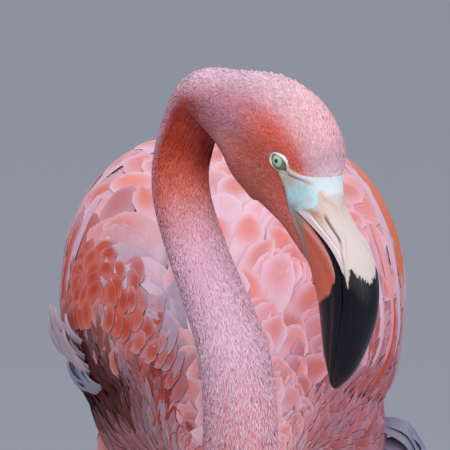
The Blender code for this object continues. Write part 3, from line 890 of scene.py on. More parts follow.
def horn_tint(rise, grid):
    """The colours of a half at its points: cream or salmon with tan and bluish patches at the
    base, as on the living bird; near black in the nostril's slit, as painted shade, and inside
    the mouth, partly dark lamellae and partly painted shade; and how far past the border of the
    black each point lies."""
    sides = grid.shape[1]
    turn = np.concatenate([half_turn, np.full(sides - len(half_turn), math.nan)])
    turn = turn if rise > 0 else turn[::-1]
    aside = np.nan_to_num(np.degrees(np.abs(turn - math.pi / 2)), nan=90.0)[None, :]
    inner = np.isnan(turn)[None, :]
    at = bill_at[:, None] + 0 * aside
    if rise > 0:
        groove = np.interp(at, *GROOVE.T)
        # The nostril's opening is a slit painted near black: painted shade in the hole.
        slit = bell(aside, groove + 0.6, 2.4) * smooth(1.35, 1.55, at)
        slit = slit * (1 - 0.5 * smooth(2.8, 3.1, at))
        tint = blend(slit * 0.92, upper_tint(grid, at, aside), NOSTRIL_SHADE)
        border = np.interp(aside, *BLACK_ABOVE.T)
    else:
        tint = lower_tint(at, aside)
        border = np.interp(aside, *BLACK_BELOW.T)
    # Inside the mouth the faces are black and dark brown: the dark lamellae, with painted shade in the
    # gap.
    tint = paint(
        tint,
        (inner * smooth(0.2, 1.6, at), BLACK * 2),
        (inner * smooth(1.6, 0.2, at) * 0.6, GAPE_BROWN * 0.5),
    )
    return tint, at - border


half_turn = np.linspace(0, math.pi, 121)
bill_halves = []
for rise, label in ((1, "upper"), (-1, "lower")):
    grid = bill_half(half_turn, rise, 13)
    piece = form("horn_" + label, grid)
    tint, past = horn_tint(rise, grid)
    store(piece, "tint", tint)
    store(piece, "past", past)
    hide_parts("bill_" + label)
    bill_halves.append(piece)

horn, tree, shader = new_material("horn", 0.42, Specular_IOR_Level=0.2)
place = object_place(tree)
streaks = noise(tree, object_place(tree, (1.0, 1.0, 0.12)), 900.0, 4.0, 0.65)
cloudy = noise(tree, place, 160.0, 3.0)
specks = noise(tree, place, 700.0, 2.0).step(0.68, 0.76)
past = stored(tree, "past")
frayed = past + (streaks - 0.5) * 0.9 + (noise(tree, place, 2400.0, 2.0) - 0.5) * 0.3
black = frayed.step(-0.06, 0.06)
tint = stored(tree, "tint", "Color")
stained = mixed(tree, cloudy.step(0.5, 0.75) * 0.2, tint, tuple(VEIN_TAN))
stained = mixed(tree, specks * 0.5, stained, tuple(LORE_DARK))
colour = mixed(tree, black, stained, tuple(BLACK))
feed(shader, "Base Color", colour)
gloss = 0.46 - black * 0.22 + (streaks - 0.5) * 0.12
feed(shader, "Roughness", gloss)
relief(shader, streaks * 0.7 + cloudy * 0.6, 0.0004)
for piece in bill_halves:
    piece.data.materials.append(horn)

# ---- Eyes and lids -----------------------------------------------------------------------
# Each eye is a wet ball with a pale green iris and a small black pupil. A thick chalky lid
# runs round it and ends in a dark corner towards the bill.
EYE_BALL = 0.80
EYE_SUNK = 0.12  # how far the ball's middle lies deeper than EYE_OUT
CORNEA = 0.05  # how far the clear front stands off the ball
PUPIL = 0.122
LID_WHITE = np.array((0.72, 0.80, 0.80))
IRIS_DARK, IRIS_LIGHT = (0.34, 0.50, 0.33), (0.50, 0.66, 0.46)
IRIS_RING = (0.40, 0.60, 0.50)
IRIS_RUST = (0.26, 0.15, 0.07)
# the iris's dark rim, with the lid's painted shadow
IRIS_RIM_AND_LID_SHADOW = (0.14, 0.13, 0.055)
PUPIL_BLACK = (0.003, 0.003, 0.003)
EYE_DARK = (0.04, 0.03, 0.02)
eye_turn = np.linspace(0, 2 * math.pi, 64, endpoint=False)


def eye_point(side, ahead, above, out):
    """A point by its distances ahead, above and outwards from the middle of an eye."""
    ahead, above, out = alike(ahead, above, out)
    return head_point(EYE_PLACE[0] + ahead, EYE_PLACE[1] + above, side * (EYE_OUT + out))


def wound(grid, side):
    """The rows of a grid wound so that its faces look outwards on either side."""
    return grid[:, ::side]


fall = np.concatenate([np.linspace(0.008, 0.9, 40), np.linspace(1.0, 3.1, 20)])[:, None]
across = EYE_BALL * np.sin(fall)
dome = EYE_BALL * np.cos(fall) - EYE_SUNK + CORNEA * smooth(0.42, 0.0, across) * (np.cos(fall) > 0)
above = np.where(np.sin(eye_turn) > 0, 0.33, 0.60)
# The lids cover the ball from here outwards, where it sinks back.
hidden = 1 / np.hypot(np.cos(eye_turn) / 0.62, np.sin(eye_turn) / above)
dome = np.where(np.cos(fall) > 0, dome - 0.9 * smooth(hidden, hidden + 0.25, across), dome)

# Lid: rows from its sunk outer margin over the roll to the ball, each an oval with a corner.
LID = np.array(
    [
        # size beyond the opening: along, above and below the eye; height over skin or ball
        (0.22, 0.24, 0.19, -0.40),
        (0.17, 0.19, 0.145, -0.14),
        (0.14, 0.155, 0.12, -0.01),
        (0.11, 0.125, 0.095, 0.045),
        (0.08, 0.09, 0.065, 0.06),
        (0.05, 0.055, 0.04, 0.055),
        (0.02, 0.02, 0.015, 0.035),
        (0.0, 0.0, 0.0, 0.012),
        (-0.02, -0.015, -0.015, -0.03),
        (-0.04, -0.03, -0.03, -0.10),
    ]
)
lid_rows = spline(np.arange(len(LID)), LID, np.linspace(0, len(LID) - 1, 37))
c, s = np.cos(eye_turn)[None, :], np.sin(eye_turn)[None, :]
corner_reach = 0.10 * np.clip(c, 0, 1) ** 8 * smooth(-0.02, 0.12, lid_rows[:, 0:1])
brow = 1 + 0.30 * np.clip(np.cos(eye_turn - 0.95), 0, 1)[None, :] ** 3  # fuller above the corner
lid_ahead = (LID_OPEN[0] + lid_rows[:, 0:1] + corner_reach) * c * brow
lid_above = (LID_OPEN[1] + np.where(s > 0, lid_rows[:, 1:2], lid_rows[:, 2:3])) * s * brow
lid_ahead = lid_ahead + LID_MIDDLE[0] - EYE_PLACE[0]
lid_above = lid_above + LID_MIDDLE[1] - EYE_PLACE[1]
ball_out = np.sqrt(np.clip(EYE_BALL**2 - lid_ahead**2 - lid_above**2, 0.02, None)) - EYE_SUNK
temple = to_head(outside.reshape(-1, 3))
temple = temple[(temple[:, 2] > 1.0) & (np.hypot(*(temple[:, :2] - EYE_PLACE).T) < 1.6)]


def head_side(ahead, above):
    """How far the coat is from the head's middle plane at places on its side: the mean of the
    nearest points of the coat, each weighed by one over its distance to the fourth."""
    off = np.stack([ahead.ravel() + EYE_PLACE[0], above.ravel() + EYE_PLACE[1]], -1)
    gap = ((off[:, None] - temple[None, :, :2]) ** 2).sum(-1) + 1e-5
    weight = 1 / gap**2
    return ((weight * temple[:, 2]).sum(1) / weight.sum(1)).reshape(ahead.shape)


skin_out = head_side(lid_ahead, lid_above) - 0.08 - EYE_OUT
skin_out = np.minimum(skin_out, ball_out + 0.16)
for side, label in SIDES:
    ring = eye_point(side, across * np.cos(eye_turn), across * np.sin(eye_turn), dome)
    ball = form("eyeball_" + label, wound(ring, -side))
    store(ball, "off", np.broadcast_to(across, ring.shape[:2]))
    store(ball, "round", np.broadcast_to(eye_turn, ring.shape[:2]))
    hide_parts("eye_" + label)
    share = smooth(0.12, 0.04, lid_rows[:, 0:1])
    out = lid_rows[:, 3:4] + skin_out * (1 - share) + ball_out * share
    lid_grid = eye_point(side, lid_ahead, lid_above, out)
    lid = form("lid_" + label, wound(lid_grid, -side), closed=False)
    edge = smooth(0.045, 0.015, lid_rows[:, 0:1]) + 0 * c
    corner = smooth(0.93, 0.995, c) * smooth(0.2, 0.1, lid_rows[:, 0:1])
    brim = smooth(0.10, 0.125, lid_rows[:, 0:1]) * (0.35 + 0.55 * smooth(-0.3, 0.5, s))
    shade = paint(
        LID_WHITE, (edge * 0.95, LORE_DARK * 0.4), (corner, LORE_DARK * 0.7), (brim, UNDER_DOWN * 0.5)
    )
    store(lid, "tint", shade)
    store(lid, "bare", np.ones(shade.shape[:2]))
    for zero in ("leg", "along", "front"):
        store(lid, zero, np.zeros(shade.shape[:2]))
    lid.data.materials.append(skin_look)

wet, tree, shader = new_material(
    "eye", 0.08, Specular_IOR_Level=0.5, Coat_Weight=0.6, Coat_Roughness=0.03
)
off, turned = stored(tree, "off"), stored(tree, "round")
spoke = combined(tree, turned.math("SINE") * 9.0, turned.math("COSINE") * 9.0, off * 9.0)
fibres = noise(tree, spoke, 1.4, 3.0, 0.6)
iris = mixed(tree, fibres.step(0.3, 0.7), IRIS_DARK, IRIS_LIGHT)
iris = mixed(tree, (off - 0.19).math("ABSOLUTE").step(0.09, 0.0) * 0.55, iris, IRIS_RING)
rust = (turned - 5.9).math("COSINE").step(0.1, 0.9) * off.step(0.28, 0.42)
iris = mixed(tree, rust * 0.7, iris, IRIS_RUST)
# The iris's dark rim, partly its own colour and partly the lid's painted shadow.
iris = mixed(tree, off.step(0.28, 0.38) * 0.85, iris, IRIS_RIM_AND_LID_SHADOW)
pupil = (off + (fibres - 0.5) * 0.015).step(PUPIL + 0.012, PUPIL - 0.012)
colour = mixed(tree, pupil, iris, PUPIL_BLACK)
colour = mixed(tree, off.step(0.58, 0.66), colour, EYE_DARK)
feed(shader, "Base Color", colour)
for label in ("left", "right"):
    bpy.data.objects["eyeball_" + label].data.materials.append(wet)

# ---- Feathers and down -------------------------------------------------------------------
# Each feather is a thin curved vane rooted in the skin and lying towards the tail, its tip
# over the roots of the next row. On the neck and the head they are short soft tufts of down.
DEEP = np.array((0.62, 0.075, 0.032))
SALMON = np.array((0.82, 0.23, 0.15))
ROSE = np.array((0.86, 0.38, 0.40))
PALE = np.array((0.86, 0.54, 0.64))
CHALK = np.array((0.90, 0.77, 0.88))
CROWN = np.array((0.87, 0.59, 0.68))
FOREHEAD = np.array((0.90, 0.50, 0.52))
FACE_ORANGE = np.array((0.88, 0.15, 0.085))
CHEEK = np.array((0.88, 0.19, 0.12))
NAPE_ROSE = np.array((0.74, 0.28, 0.36))
BROW_PINK = (0.90, 0.62, 0.70)
BREAST_RED = (0.54, 0.065, 0.055)
BARB_SHADE = (0.84, 0.72, 0.74)
NECK_TINT = np.array(
    [
        # distance behind the face, then the colour on the side of the throat
        (8.0, 0.48, 0.085, 0.085),
        (11.0, 0.52, 0.053, 0.028),
        (13.0, 0.54, 0.052, 0.020),
        (14.5, 0.74, 0.105, 0.046),
        (16.0, 0.86, 0.19, 0.12),
        (17.5, 0.87, 0.32, 0.33),
        (20.0, 0.92, 0.51, 0.67),
        (25.0, 0.94, 0.58, 0.73),
        (28.0, 0.89, 0.44, 0.54),
        (33.0, 0.85, 0.29, 0.31),
        (46.0, 0.87, 0.29, 0.28),
    ]
)
seeded = np.random.default_rng(11)


def rooted_rows(stops, along, across, around):
    """Roots in staggered rows from stops[0] to stops[1]: returns (distance, share round).

    along and across are the spacings at a distance, and around the length round at it."""
    rows = [stops[0]]
    while rows[-1] < stops[1]:
        rows.append(rows[-1] + float(along(rows[-1])))
    rows = np.array(rows[:-1])
    count = np.maximum(1, np.round(around(rows) / across(rows))).astype(int)
    row = np.repeat(np.arange(len(rows)), count)
    first = np.repeat(np.cumsum(count) - count, count)
    share = (np.arange(len(row)) - first + 0.5 * (row % 2)) / count[row]
    loose = seeded.uniform(-0.5, 0.5, (2, len(row)))
    return rows[row] + 0.7 * loose[0] * along(rows[row]), share + 0.6 * loose[1] / count[row]


def lay(place, u, v, length, half, depth, lift, heading=0.0, grid=(5, 5), tip=0.35, cup=0.25,
        fray=0.05, root=0.45, point=0.0, rise=0.7):
    """Feathers lying on the surface place(u, v, out), where u grows towards the tail.

    A point t along and c across a vane (0 to 1, -1 to 1) is length t (1 - tip (1 - sqrt(1 -
    0.9 c^2))) back and half c w(t) aside, turned by heading and measured on the surface; it is
    (depth - lift t^rise) + cup half c^2 under the surface. w widens from root to 1 by 0.6 and
    narrows by point t^3 towards the tip."""
    u, v, length, half, depth, lift, heading = alike(u, v, length, half, depth, lift, heading)
    step = 0.02
    per_u = np.linalg.norm(place(u + step, v, -depth) - place(u, v, -depth), axis=-1) / step
    per_v = np.linalg.norm(place(u, v + step, -depth) - place(u, v, -depth), axis=-1) / step
    t = np.linspace(0, 1, grid[0])[None, :, None]
    c = np.linspace(-1, 1, grid[1])[None, None, :]
    rounded = 1 - tip * (1 - np.sqrt(1 - 0.9 * c * c))
    frayed = 1 + fray * seeded.uniform(-1, 1, (len(u), 1, grid[1])) * t**2
    wide = root + (1 - root) * np.sin(0.5 * math.pi * np.minimum(1, t / 0.6))
    wide = wide * (1 - point * t**3)
    each = (slice(None), None, None)
    back = length[each] * t * rounded * frayed
    aside = half[each] * c * wide
    turn_c, turn_s = np.cos(heading[each]), np.sin(heading[each])
    uu = u[each] + (back * turn_c - aside * turn_s) / per_u[each]
    vv = v[each] + (back * turn_s + aside * turn_c) / per_v[each]
    under = depth[each] - lift[each] * t**rise + cup * half[each] * c * c
    return place(uu, vv, -under)


def coat(name, points, tint, rim, home, side=1, facing=None, own=1.0, margin=CHALK, look=None):
    """One piece of the coat from vanes given as an array (feathers, along, across, 3).

    tint is a colour for each feather, margin the one round its edge and rim how far it shows;
    home is the place of its root on the unwrapped skin, 0 to 1 each way. Where facing is given,
    as a direction out of the skin for each vane, or for its root and its tip, the vanes are
    shaded as the skin under them is, but for the share own and where they stand across it."""
    count, along, across = points.shape[:3]
    margin, rim = np.broadcast_to(margin, tint.shape), np.broadcast_to(rim, count)
    corner = np.arange(points[..., 0].size).reshape(count, along, across)
    first, second = corner[:, :-1], corner[:, 1:]
    quads = [first[..., :-1], second[..., :-1], second[..., 1:], first[..., 1:]]
    quads = np.stack(quads[::side], -1).reshape(-1, 4)
    mesh = bpy.data.meshes.new(name)
    mesh.vertices.add(corner.size)
    mesh.vertices.foreach_set("co", (points * CM).astype(np.float32).ravel())
    mesh.loops.add(quads.size)
    mesh.loops.foreach_set("vertex_index", quads.ravel())
    mesh.polygons.add(len(quads))
    mesh.polygons.foreach_set("loop_start", np.arange(0, quads.size, 4))
    mesh.update(calc_edges=True)
    mesh.shade_smooth()
    piece = placed(name, mesh)
    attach(piece, "root")
    t = np.broadcast_to(np.linspace(0, 1, along)[None, :, None], corner.shape)
    c = np.broadcast_to(np.linspace(0, 1, across)[None, None, :], corner.shape)
    if facing is not None:
        facing = np.broadcast_to(facing if facing.ndim == 3 else facing[:, None], (count, 2, 3))
        under = facing[:, :1, None] * (1 - t[..., None]) + facing[:, 1:, None] * t[..., None]
        flat = unit(np.cross(np.gradient(points, axis=1), np.gradient(points, axis=2)))
        flat, under = flat * side, unit(under)
        share = own + (1 - own) * smooth(0.85, 0.55, (flat * under).sum(-1, keepdims=True))
        shaded = unit(flat * share + under * (1 - share))
        mesh.normals_split_custom_set_from_vertices(shaded.reshape(-1, 3).tolist())
    store(piece, "tint", np.broadcast_to(tint[:, None, None, :], points.shape))
    store(piece, "margin", np.broadcast_to(margin[:, None, None, :], points.shape))
    store(piece, "rim", np.broadcast_to(rim[:, None, None], corner.shape))
    vane = np.stack([c, t], -1) + np.arange(count)[:, None, None, None] * [2, 0]
    patch = home[:, None, None, :] * 0.99 + 0.003 * np.stack([c, t], -1)
    for label, where in (("OFBake", patch), ("vane", vane)):
        layer = mesh.uv_layers.new(name=label)
        where = where.reshape(-1, 2)[quads.ravel()]
        layer.data.foreach_set("uv", where.astype(np.float32).ravel())
    mesh.uv_layers["OFBake"].active_render = True
    mesh.materials.append(look or contour_look)
    return piece


def root_patch(turn, back, start=40.0, length=60.0):
    """Where roots lie on the unwrapped skin: the share round it and along it."""
    return np.stack([turn / (2 * math.pi) % 1, (back - start) / length], -1)


def outward(place, u, v):
    """The direction out of a surface at each place on it: square to its two directions."""
    step = 0.01
    round_it = place(u, v + step) - place(u, v - step)
    normal = unit(np.cross(round_it, place(u + 0.1, v) - place(u - 0.1, v)))
    out = place(u, v, 0.1) - place(u, v, -0.1)
    return normal * np.sign((normal * out).sum(-1, keepdims=True) + 1e-9)


def on_vane(tree):
    """Where a point lies on its feather: 0 to 1 across plus 2 for each feather before it, and
    0 to 1 along."""
    where = add(tree, "ShaderNodeUVMap", {"uv_map": "vane"})
    parts = add(tree, "ShaderNodeSeparateXYZ", {}, {"Vector": Shade(where.outputs[0])})
    return Shade(parts.outputs[0]), Shade(parts.outputs[1])


def vane_material(name):
    """Feather vane: its tint in an oval patch near the tip, fading all round into the colour of
    its margin, a thin chalky line at the edge, and fine barbs slanting off the shaft.

    x runs 0 to 1 across each feather and y along it. The patch is where the root of
    (|2x - 1| / 0.72)^2 + ((y - 0.76) / 0.26)^2 is small; the barbs are noise drawn out along
    y - 0.35 |2x - 1|."""
    made, tree, shader = new_material(name, 0.75, Specular_IOR_Level=0.2)
    x, y = on_vane(tree)
    feather = (x * 0.5).math("FLOOR")
    x = x - feather * 2.0
    aside = (x * 2.0 - 1.0).math("ABSOLUTE")
    slant = y - aside * 0.35
    barb_at = combined(tree, slant * 16.0, x.step(0.49, 0.51) * 3.0 + aside * 1.2, feather * 1.7)
    barb = noise(tree, barb_at, 1.0, 2.0)
    patch = ((aside / 0.72) ** 2.0 + ((y - 0.76) / 0.26) ** 2.0) ** 0.5 + (barb - 0.5) * 0.5
    outside_patch = patch.step(0.3, 1.5) * stored(tree, "rim")
    tint, margin = stored(tree, "tint", "Color"), stored(tree, "margin", "Color")
    colour = mixed(tree, outside_patch, tint, margin)
    colour = mixed(tree, barb.step(0.35, 0.75) * 0.35, colour, BARB_SHADE, "MULTIPLY")
    edge = aside.math("MAXIMUM", aside * 0.96, y) + (barb - 0.5) * 0.1
    line = edge.step(0.90, 1.0) * stored(tree, "rim")
    colour = mixed(tree, line * 0.12, colour, tuple(CHALK))
    feed(shader, "Base Color", colour)
    relief(shader, barb, 0.0003)
    return made


def tuft_material(name):
    """Down: the tint of each tuft, paler towards its tip."""
    made, tree, shader = new_material(name, 0.85, Specular_IOR_Level=0.15)
    tip = on_vane(tree)[1].step(0.3, 1.0) * stored(tree, "rim")
    colour = mixed(tree, tip, stored(tree, "tint", "Color"), stored(tree, "margin", "Color"))
    feed(shader, "Base Color", colour)
    return made


contour_look = vane_material("contour feather")
down_look = tuft_material("down")


def length_round(back):
    """The length once round the body at each distance behind the face."""
    ring = coat_place(np.asarray(back)[:, None], skin_turn, 0.0)
    return np.linalg.norm(np.roll(ring, -1, axis=1) - ring, axis=-1).sum(1)


def down_tint(back, turn):
    """The down's colour: lilac pink on the crown, orange round the eye, rose behind it, with
    painted shade on the head's lower side behind the eye, and down the neck the colours of
    NECK_TINT, rosier on the nape above the throat."""
    up = np.sin(turn)
    rear = smooth(3.4, 7.0, back)
    face = paint(
        FACE_ORANGE, (rear, NAPE_ROSE), (smooth(0.05, -0.3, up) * (1 - 0.6 * rear), CHEEK)
    )
    tint = paint(
        CROWN,
        (smooth(0.97, 0.4, up), face),
        (bell(back, 2.6, 1.8) * smooth(0.5, 0.85, up) * 0.8, FOREHEAD),
        (smooth(1.5, 0.5, back) * smooth(0.3, 0.7, up) * 0.7, BROW_PINK),
    )
    # Painted shade: a fifth darker low on the head's side, from the eye back.
    tint = tint * (1 - 0.2 * smooth(0.35, 0.05, up) * smooth(0.8, 2.5, back))[:, None]
    neck = np.stack([np.interp(back, NECK_TINT[:, 0], NECK_TINT[:, i]) for i in (1, 2, 3)], -1)
    nape = paint(
        PALE,
        (smooth(20, 14, back) * 0.6, NAPE_ROSE),
        (smooth(12, 9, back) * smooth(0.3, 0.9, up), CROWN),
    )
    neck = blend(smooth(-0.15, 0.5, up) * smooth(24, 15, back), neck, nape)
    breast = smooth(41, 46, back) * bell(np.degrees(turn), 165, 38)
    return paint(tint, (smooth(7.0, 10.5, back), neck), (breast * 0.85, BREAST_RED))


# Down of the head and the neck.
def down_along(back):
    """From one row of down to the next, by the distance behind the face."""
    return np.interp(back, [0, 4, 10, 20, 44, 52], [0.085, 0.095, 0.11, 0.125, 0.155, 0.3])


down_back, down_share = rooted_rows(
    (-1.5, NECK_LENGTH), down_along, lambda b: down_along(b) * 0.62, length_round
)
down_turn = 2 * math.pi * down_share
down_at = coat_place(down_back, down_turn)
keep = (bare_face(down_at) < 0.35) & (round_eye(down_at) > 1.4)
keep = keep & (down_back > 0.25 - np.interp(from_top(down_turn), *REACH.T))
down_back, down_turn, down_at = down_back[keep], down_turn[keep], down_at[keep]
count = down_back.size
up = np.sin(down_turn)
size = down_along(down_back) * np.interp(down_back, [0, 3, 12, 50], [2.8, 3.2, 3.8, 4.0])
size = size * seeded.uniform(0.75, 1.25, count)
tint = down_tint(down_back, down_turn)
flecked = seeded.uniform(0, 1, (3, count))
streaked = np.interp(down_back, [0, 8, 20, 28, 34, 46], [0.35, 0.3, 0.35, 0.75, 0.9, 0.8])
tint = blend(flecked[0] ** 3 * streaked, tint, tint * [0.9, 0.55, 0.45])
tint = blend(flecked[1] ** 3 * streaked * np.clip(tint[:, 1] * 2.5, 0.1, 1), tint, CHALK)
tint = tint * (0.86 + 0.22 * flecked[2][:, None])
depth = np.interp(down_back, *DOWN_DEPTH.T) * 0.8
proud = seeded.uniform(0.92, 1.08, count)
crest = smooth(0.75, 0.95, up) * smooth(11, 9, down_back)
proud = proud + 0.9 * (seeded.uniform(0, 1, count) > 0.985) * crest
half = down_along(down_back) * np.interp(down_back, [43, 48], [0.5, 0.8])
vanes = lay(
    coat_place, down_back, down_turn, size, half, depth, depth * proud,
    seeded.normal(0, 0.2, count), grid=(3, 3), tip=0.5, cup=0.08, fray=0.15, root=0.8, point=0.5,
)
home = root_patch(down_turn, down_back, -2, 62)
rim = np.interp(down_back, [0, 6, 18, 42, 47], [0.3, 0.35, 0.45, 0.45, 0.15])
rim = rim * seeded.uniform(0.1, 1.3, count) * np.clip(tint[:, 1] * 2.6 - 0.1, 0.0, 1)
facing = outward(coat_place, down_back, down_turn)
DOWN_ENDS = {"face": 3, "crown": 7, "arch": 14, "neck_upper": 24, "neck_middle": 35, "neck_lower": 99}
low = down_back.min()
for label, high in DOWN_ENDS.items():
    part = (down_back >= low) & (down_back < high)
    coat(f"down_{label}", vanes[part], tint[part], rim[part], home[part],
         facing=facing[part], own=0.2, look=down_look)
    low = high

# ---- Wings and body plumage ----------------------------------------------------------------
# The folded wings swell the body's sides. Feathers run over trunk and wings in one coat: small
# at the breast and the bend of the wing, then broad coverts, and long drooping ones behind.
WING = np.array(
    [
        # share of the length, upper edge, lower edge (degrees round the body), thickness
        (0.00, 40.0, 22.0, 0.2),
        (0.05, 56.0, 4.0, 0.8),
        (0.18, 72.0, -11.0, 1.6),
        (0.45, 79.0, -13.0, 1.65),
        (0.75, 82.0, -4.0, 1.0),
        (0.92, 80.0, 14.0, 0.45),
        (1.00, 58.0, 34.0, 0.2),
    ]
)
WING_FRONT = body_knots[8] - 1.4
WING_EDGE = 0.12
ARM_SHADE = 0.85
ARM_INSIDE = -0.4  # how far inside the body a wing's inner face lies
QUILL_BLACK = 0.012
LAST_TIP = 98.2  # the feathers' tips lie within this distance behind the face
BREAST_END = 62  # body feathers before this distance belong to the breast, the others to the back
SHADED_END = 96.0  # the last place whose direction shades a tip
TIP_SHARE = 0.84  # no broad feathers grow on a wing past this share of its length
RUMP_END = 87  # nor on the body past this distance, under the wings' tips
FLANK = (56.5, -30.0, 4.0, 16.0, 1.5)  # middle, degrees round, spread each way, height


def wing_share(back):
    """How far along the wing a distance behind the face is, 0 at its bend, 1 at its tip."""
    return 1 - (FACE - back) / WING_FRONT


def wing_across(back, turn):
    """How far down the wing a turn lies, 0 at its upper edge and 1 at its lower one."""
    edges = spline(WING[:, 0], WING[:, 1:3], np.clip(wing_share(back), 0, 1))
    rise = np.degrees(np.arcsin(np.clip(np.sin(turn), -1, 1)))
    return (edges[..., 0] - rise) / (edges[..., 0] - edges[..., 1])


def wing_spot(share, across):
    """The distance behind the face and the turn of a place on the left wing, by its share of
    the wing's length and how far down the wing it lies."""
    edges = np.radians(spline(WING[:, 0], WING[:, 1:3], share))
    turn = edges[..., 0] * (1 - across) + edges[..., 1] * across
    return FACE - WING_FRONT * (1 - share), turn


def plumage_place(back, turn, out=0.0):
    """The outside of trunk and wings: the body's own, moved out over the wing by its thickness
    times sin(pi across)^0.6, plus its edge, and out where the feathers of the left flank puff."""
    back, turn, out = alike(back, turn, out)
    share = wing_share(back)
    across = np.clip(wing_across(back, turn), 0, 1)
    thick = spline(WING[:, 0], WING[:, 3], np.clip(share, 0, 1))
    on = smooth(-0.01, 0.01, share) * smooth(1.03, 0.99, share)
    rounded = thick * np.sin(math.pi * across) ** 0.6
    swell = (rounded + WING_EDGE * smooth(0, 0.04, across * (1 - across))) * on
    round_it = (np.degrees(turn) + 180 - FLANK[1]) % 360 - 180
    puffed = FLANK[4] * bell(back, FLANK[0], FLANK[2]) * bell(round_it, 0, FLANK[3])
    return body_place(back, turn, out + swell + puffed)


def feather_step(back):
    """From one row of broad feathers to the next, by the distance behind the face."""
    return np.interp(back, [44, 50, 55, 64, 80, 97], [0.5, 0.95, 1.6, 1.9, 2.2, 2.3])


LILAC = np.array((0.80, 0.56, 0.65))
# BELLY_PATCH and BELLY_MARGIN: redder than the body above, and darker as painted shade under the body.
BELLY_PATCH = np.array((0.52, 0.12, 0.11))
BELLY_MARGIN = np.array((0.62, 0.30, 0.34))
PLUMAGE = [
    # middle: distance behind the face, degrees round; spread each way; strength; patch; margin
    (57.0, 140, 5.0, 14, 0.9, (0.56, 0.11, 0.08), (0.60, 0.23, 0.28)),
    (59.5, 122, 5.0, 14, 0.9, (0.68, 0.20, 0.16), (0.72, 0.40, 0.47)),
    (60.0, 160, 3.0, 9, 0.9, (0.46, 0.17, 0.18), (0.62, 0.40, 0.50)),
    (54.5, 78, 8.0, 26, 0.9, (0.74, 0.25, 0.23), (0.78, 0.50, 0.61)),
    (60.0, 45, 4.0, 15, 1.0, (0.66, 0.085, 0.02), (0.64, 0.18, 0.11)),
    (61.5, 27, 3.5, 12, 0.9, (0.52, 0.10, 0.055), (0.50, 0.18, 0.17)),
    (56.5, 22, 2.0, 12, 0.8, (0.60, 0.34, 0.40), (0.70, 0.48, 0.60)),
    (50.5, 30, 4.5, 30, 0.9, (0.54, 0.14, 0.14), (0.62, 0.29, 0.37)),
    # Partly painted shade: darker red low on the bird's left flank.
    (52.0, -10, 6.0, 24, 0.9, (0.40, 0.08, 0.07), (0.46, 0.20, 0.29)),
    (50.6, 127, 2.9, 11, 1.0, (0.46, 0.36, 0.46), (0.50, 0.42, 0.55)),
    (64.5, 45, 3.0, 10, 1.0, (0.66, 0.09, 0.02), (0.64, 0.18, 0.11)),
    (47.3, 150, 2.6, 20, 1.0, (0.42, 0.035, 0.02), (0.42, 0.06, 0.06)),
    # Painted shade: near black under the bird's right flank.
    (53.5, 191, 5.4, 24, 1.0, (0.09, 0.012, 0.008), (0.12, 0.025, 0.025)),
    (56.2, 169, 2.2, 8, 1.0, (0.60, 0.20, 0.17), (0.66, 0.40, 0.50)),
    (56.0, 85, 2.5, 9, 0.8, (0.76, 0.30, 0.30), (0.80, 0.58, 0.68)),
    (54.3, 151, 2.4, 9, 1.0, (0.62, 0.09, 0.05), (0.70, 0.24, 0.22)),
]


def plumage_tint(back, turn):
    """The patch and the margin colour of a feather: salmon with pale margins over the body,
    redder and darker below, the darkness partly painted shade under the body, and the areas of
    PLUMAGE as bells round their middles, two of them low on the flanks partly painted shade."""
    # low: the redder colours below, their darkness partly painted shade.
    low = smooth(0.0, -0.7, np.sin(turn))[..., None]
    patch = SALMON * 0.92 * (1 - low) + BELLY_PATCH * low
    margin = LILAC * (1 - low) + BELLY_MARGIN * low
    patch = blend(smooth(51, 46, back) * 0.7, patch, NECK_TINT[-1, 1:])
    for middle, degrees, along, round_it, strength, first, second in PLUMAGE:
        off = (turn - math.radians(degrees) + math.pi) % (2 * math.pi) - math.pi
        share = bell(back, middle, along) * bell(np.degrees(off), 0, round_it)
        share = np.clip(1.5 * share, 0, 1) * strength
        patch, margin = blend(share, patch, first), blend(share, margin, second)
    return patch, margin


# The core of each wing lies close under its feathers and shows their margins' colour.
arm_look, tree, shader = new_material("wing arm", 0.8)
feed(shader, "Base Color", stored(tree, "tint", "Color"))
for side, label in SIDES:
    share = np.linspace(0.005, 0.97, 50)[:, None]
    back, turn = wing_spot(share, np.linspace(0.0, 1.0, 27)[None, :])
    turn = turn if side > 0 else math.pi - turn
    sunk = np.interp(share, [0, 0.1, 0.8, 1], [0.2, 0.34, 0.34, 0.25])
    upper = plumage_place(back, turn, -sunk)
    under = body_place(back, turn[:, ::-1], ARM_INSIDE)
    arm = form("wing_arm_" + label, wound(np.concatenate([upper, under], axis=1), side))
    tint = plumage_tint(back + 0 * turn, turn)[1] * ARM_SHADE
    store(arm, "tint", np.concatenate([tint, tint[:, ::-1]], axis=1)[:, ::side])
    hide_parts(f"wing_{label}")
    arm.data.materials.append(arm_look)


def calm(back, turn):
    """1 where the coat is streaky: on the breast, before the wings, and below it."""
    low = smooth(0.45, 0.1, np.sin(turn))
    return low * smooth(58, 54, back) * smooth(0.16, 0.08, wing_share(back))


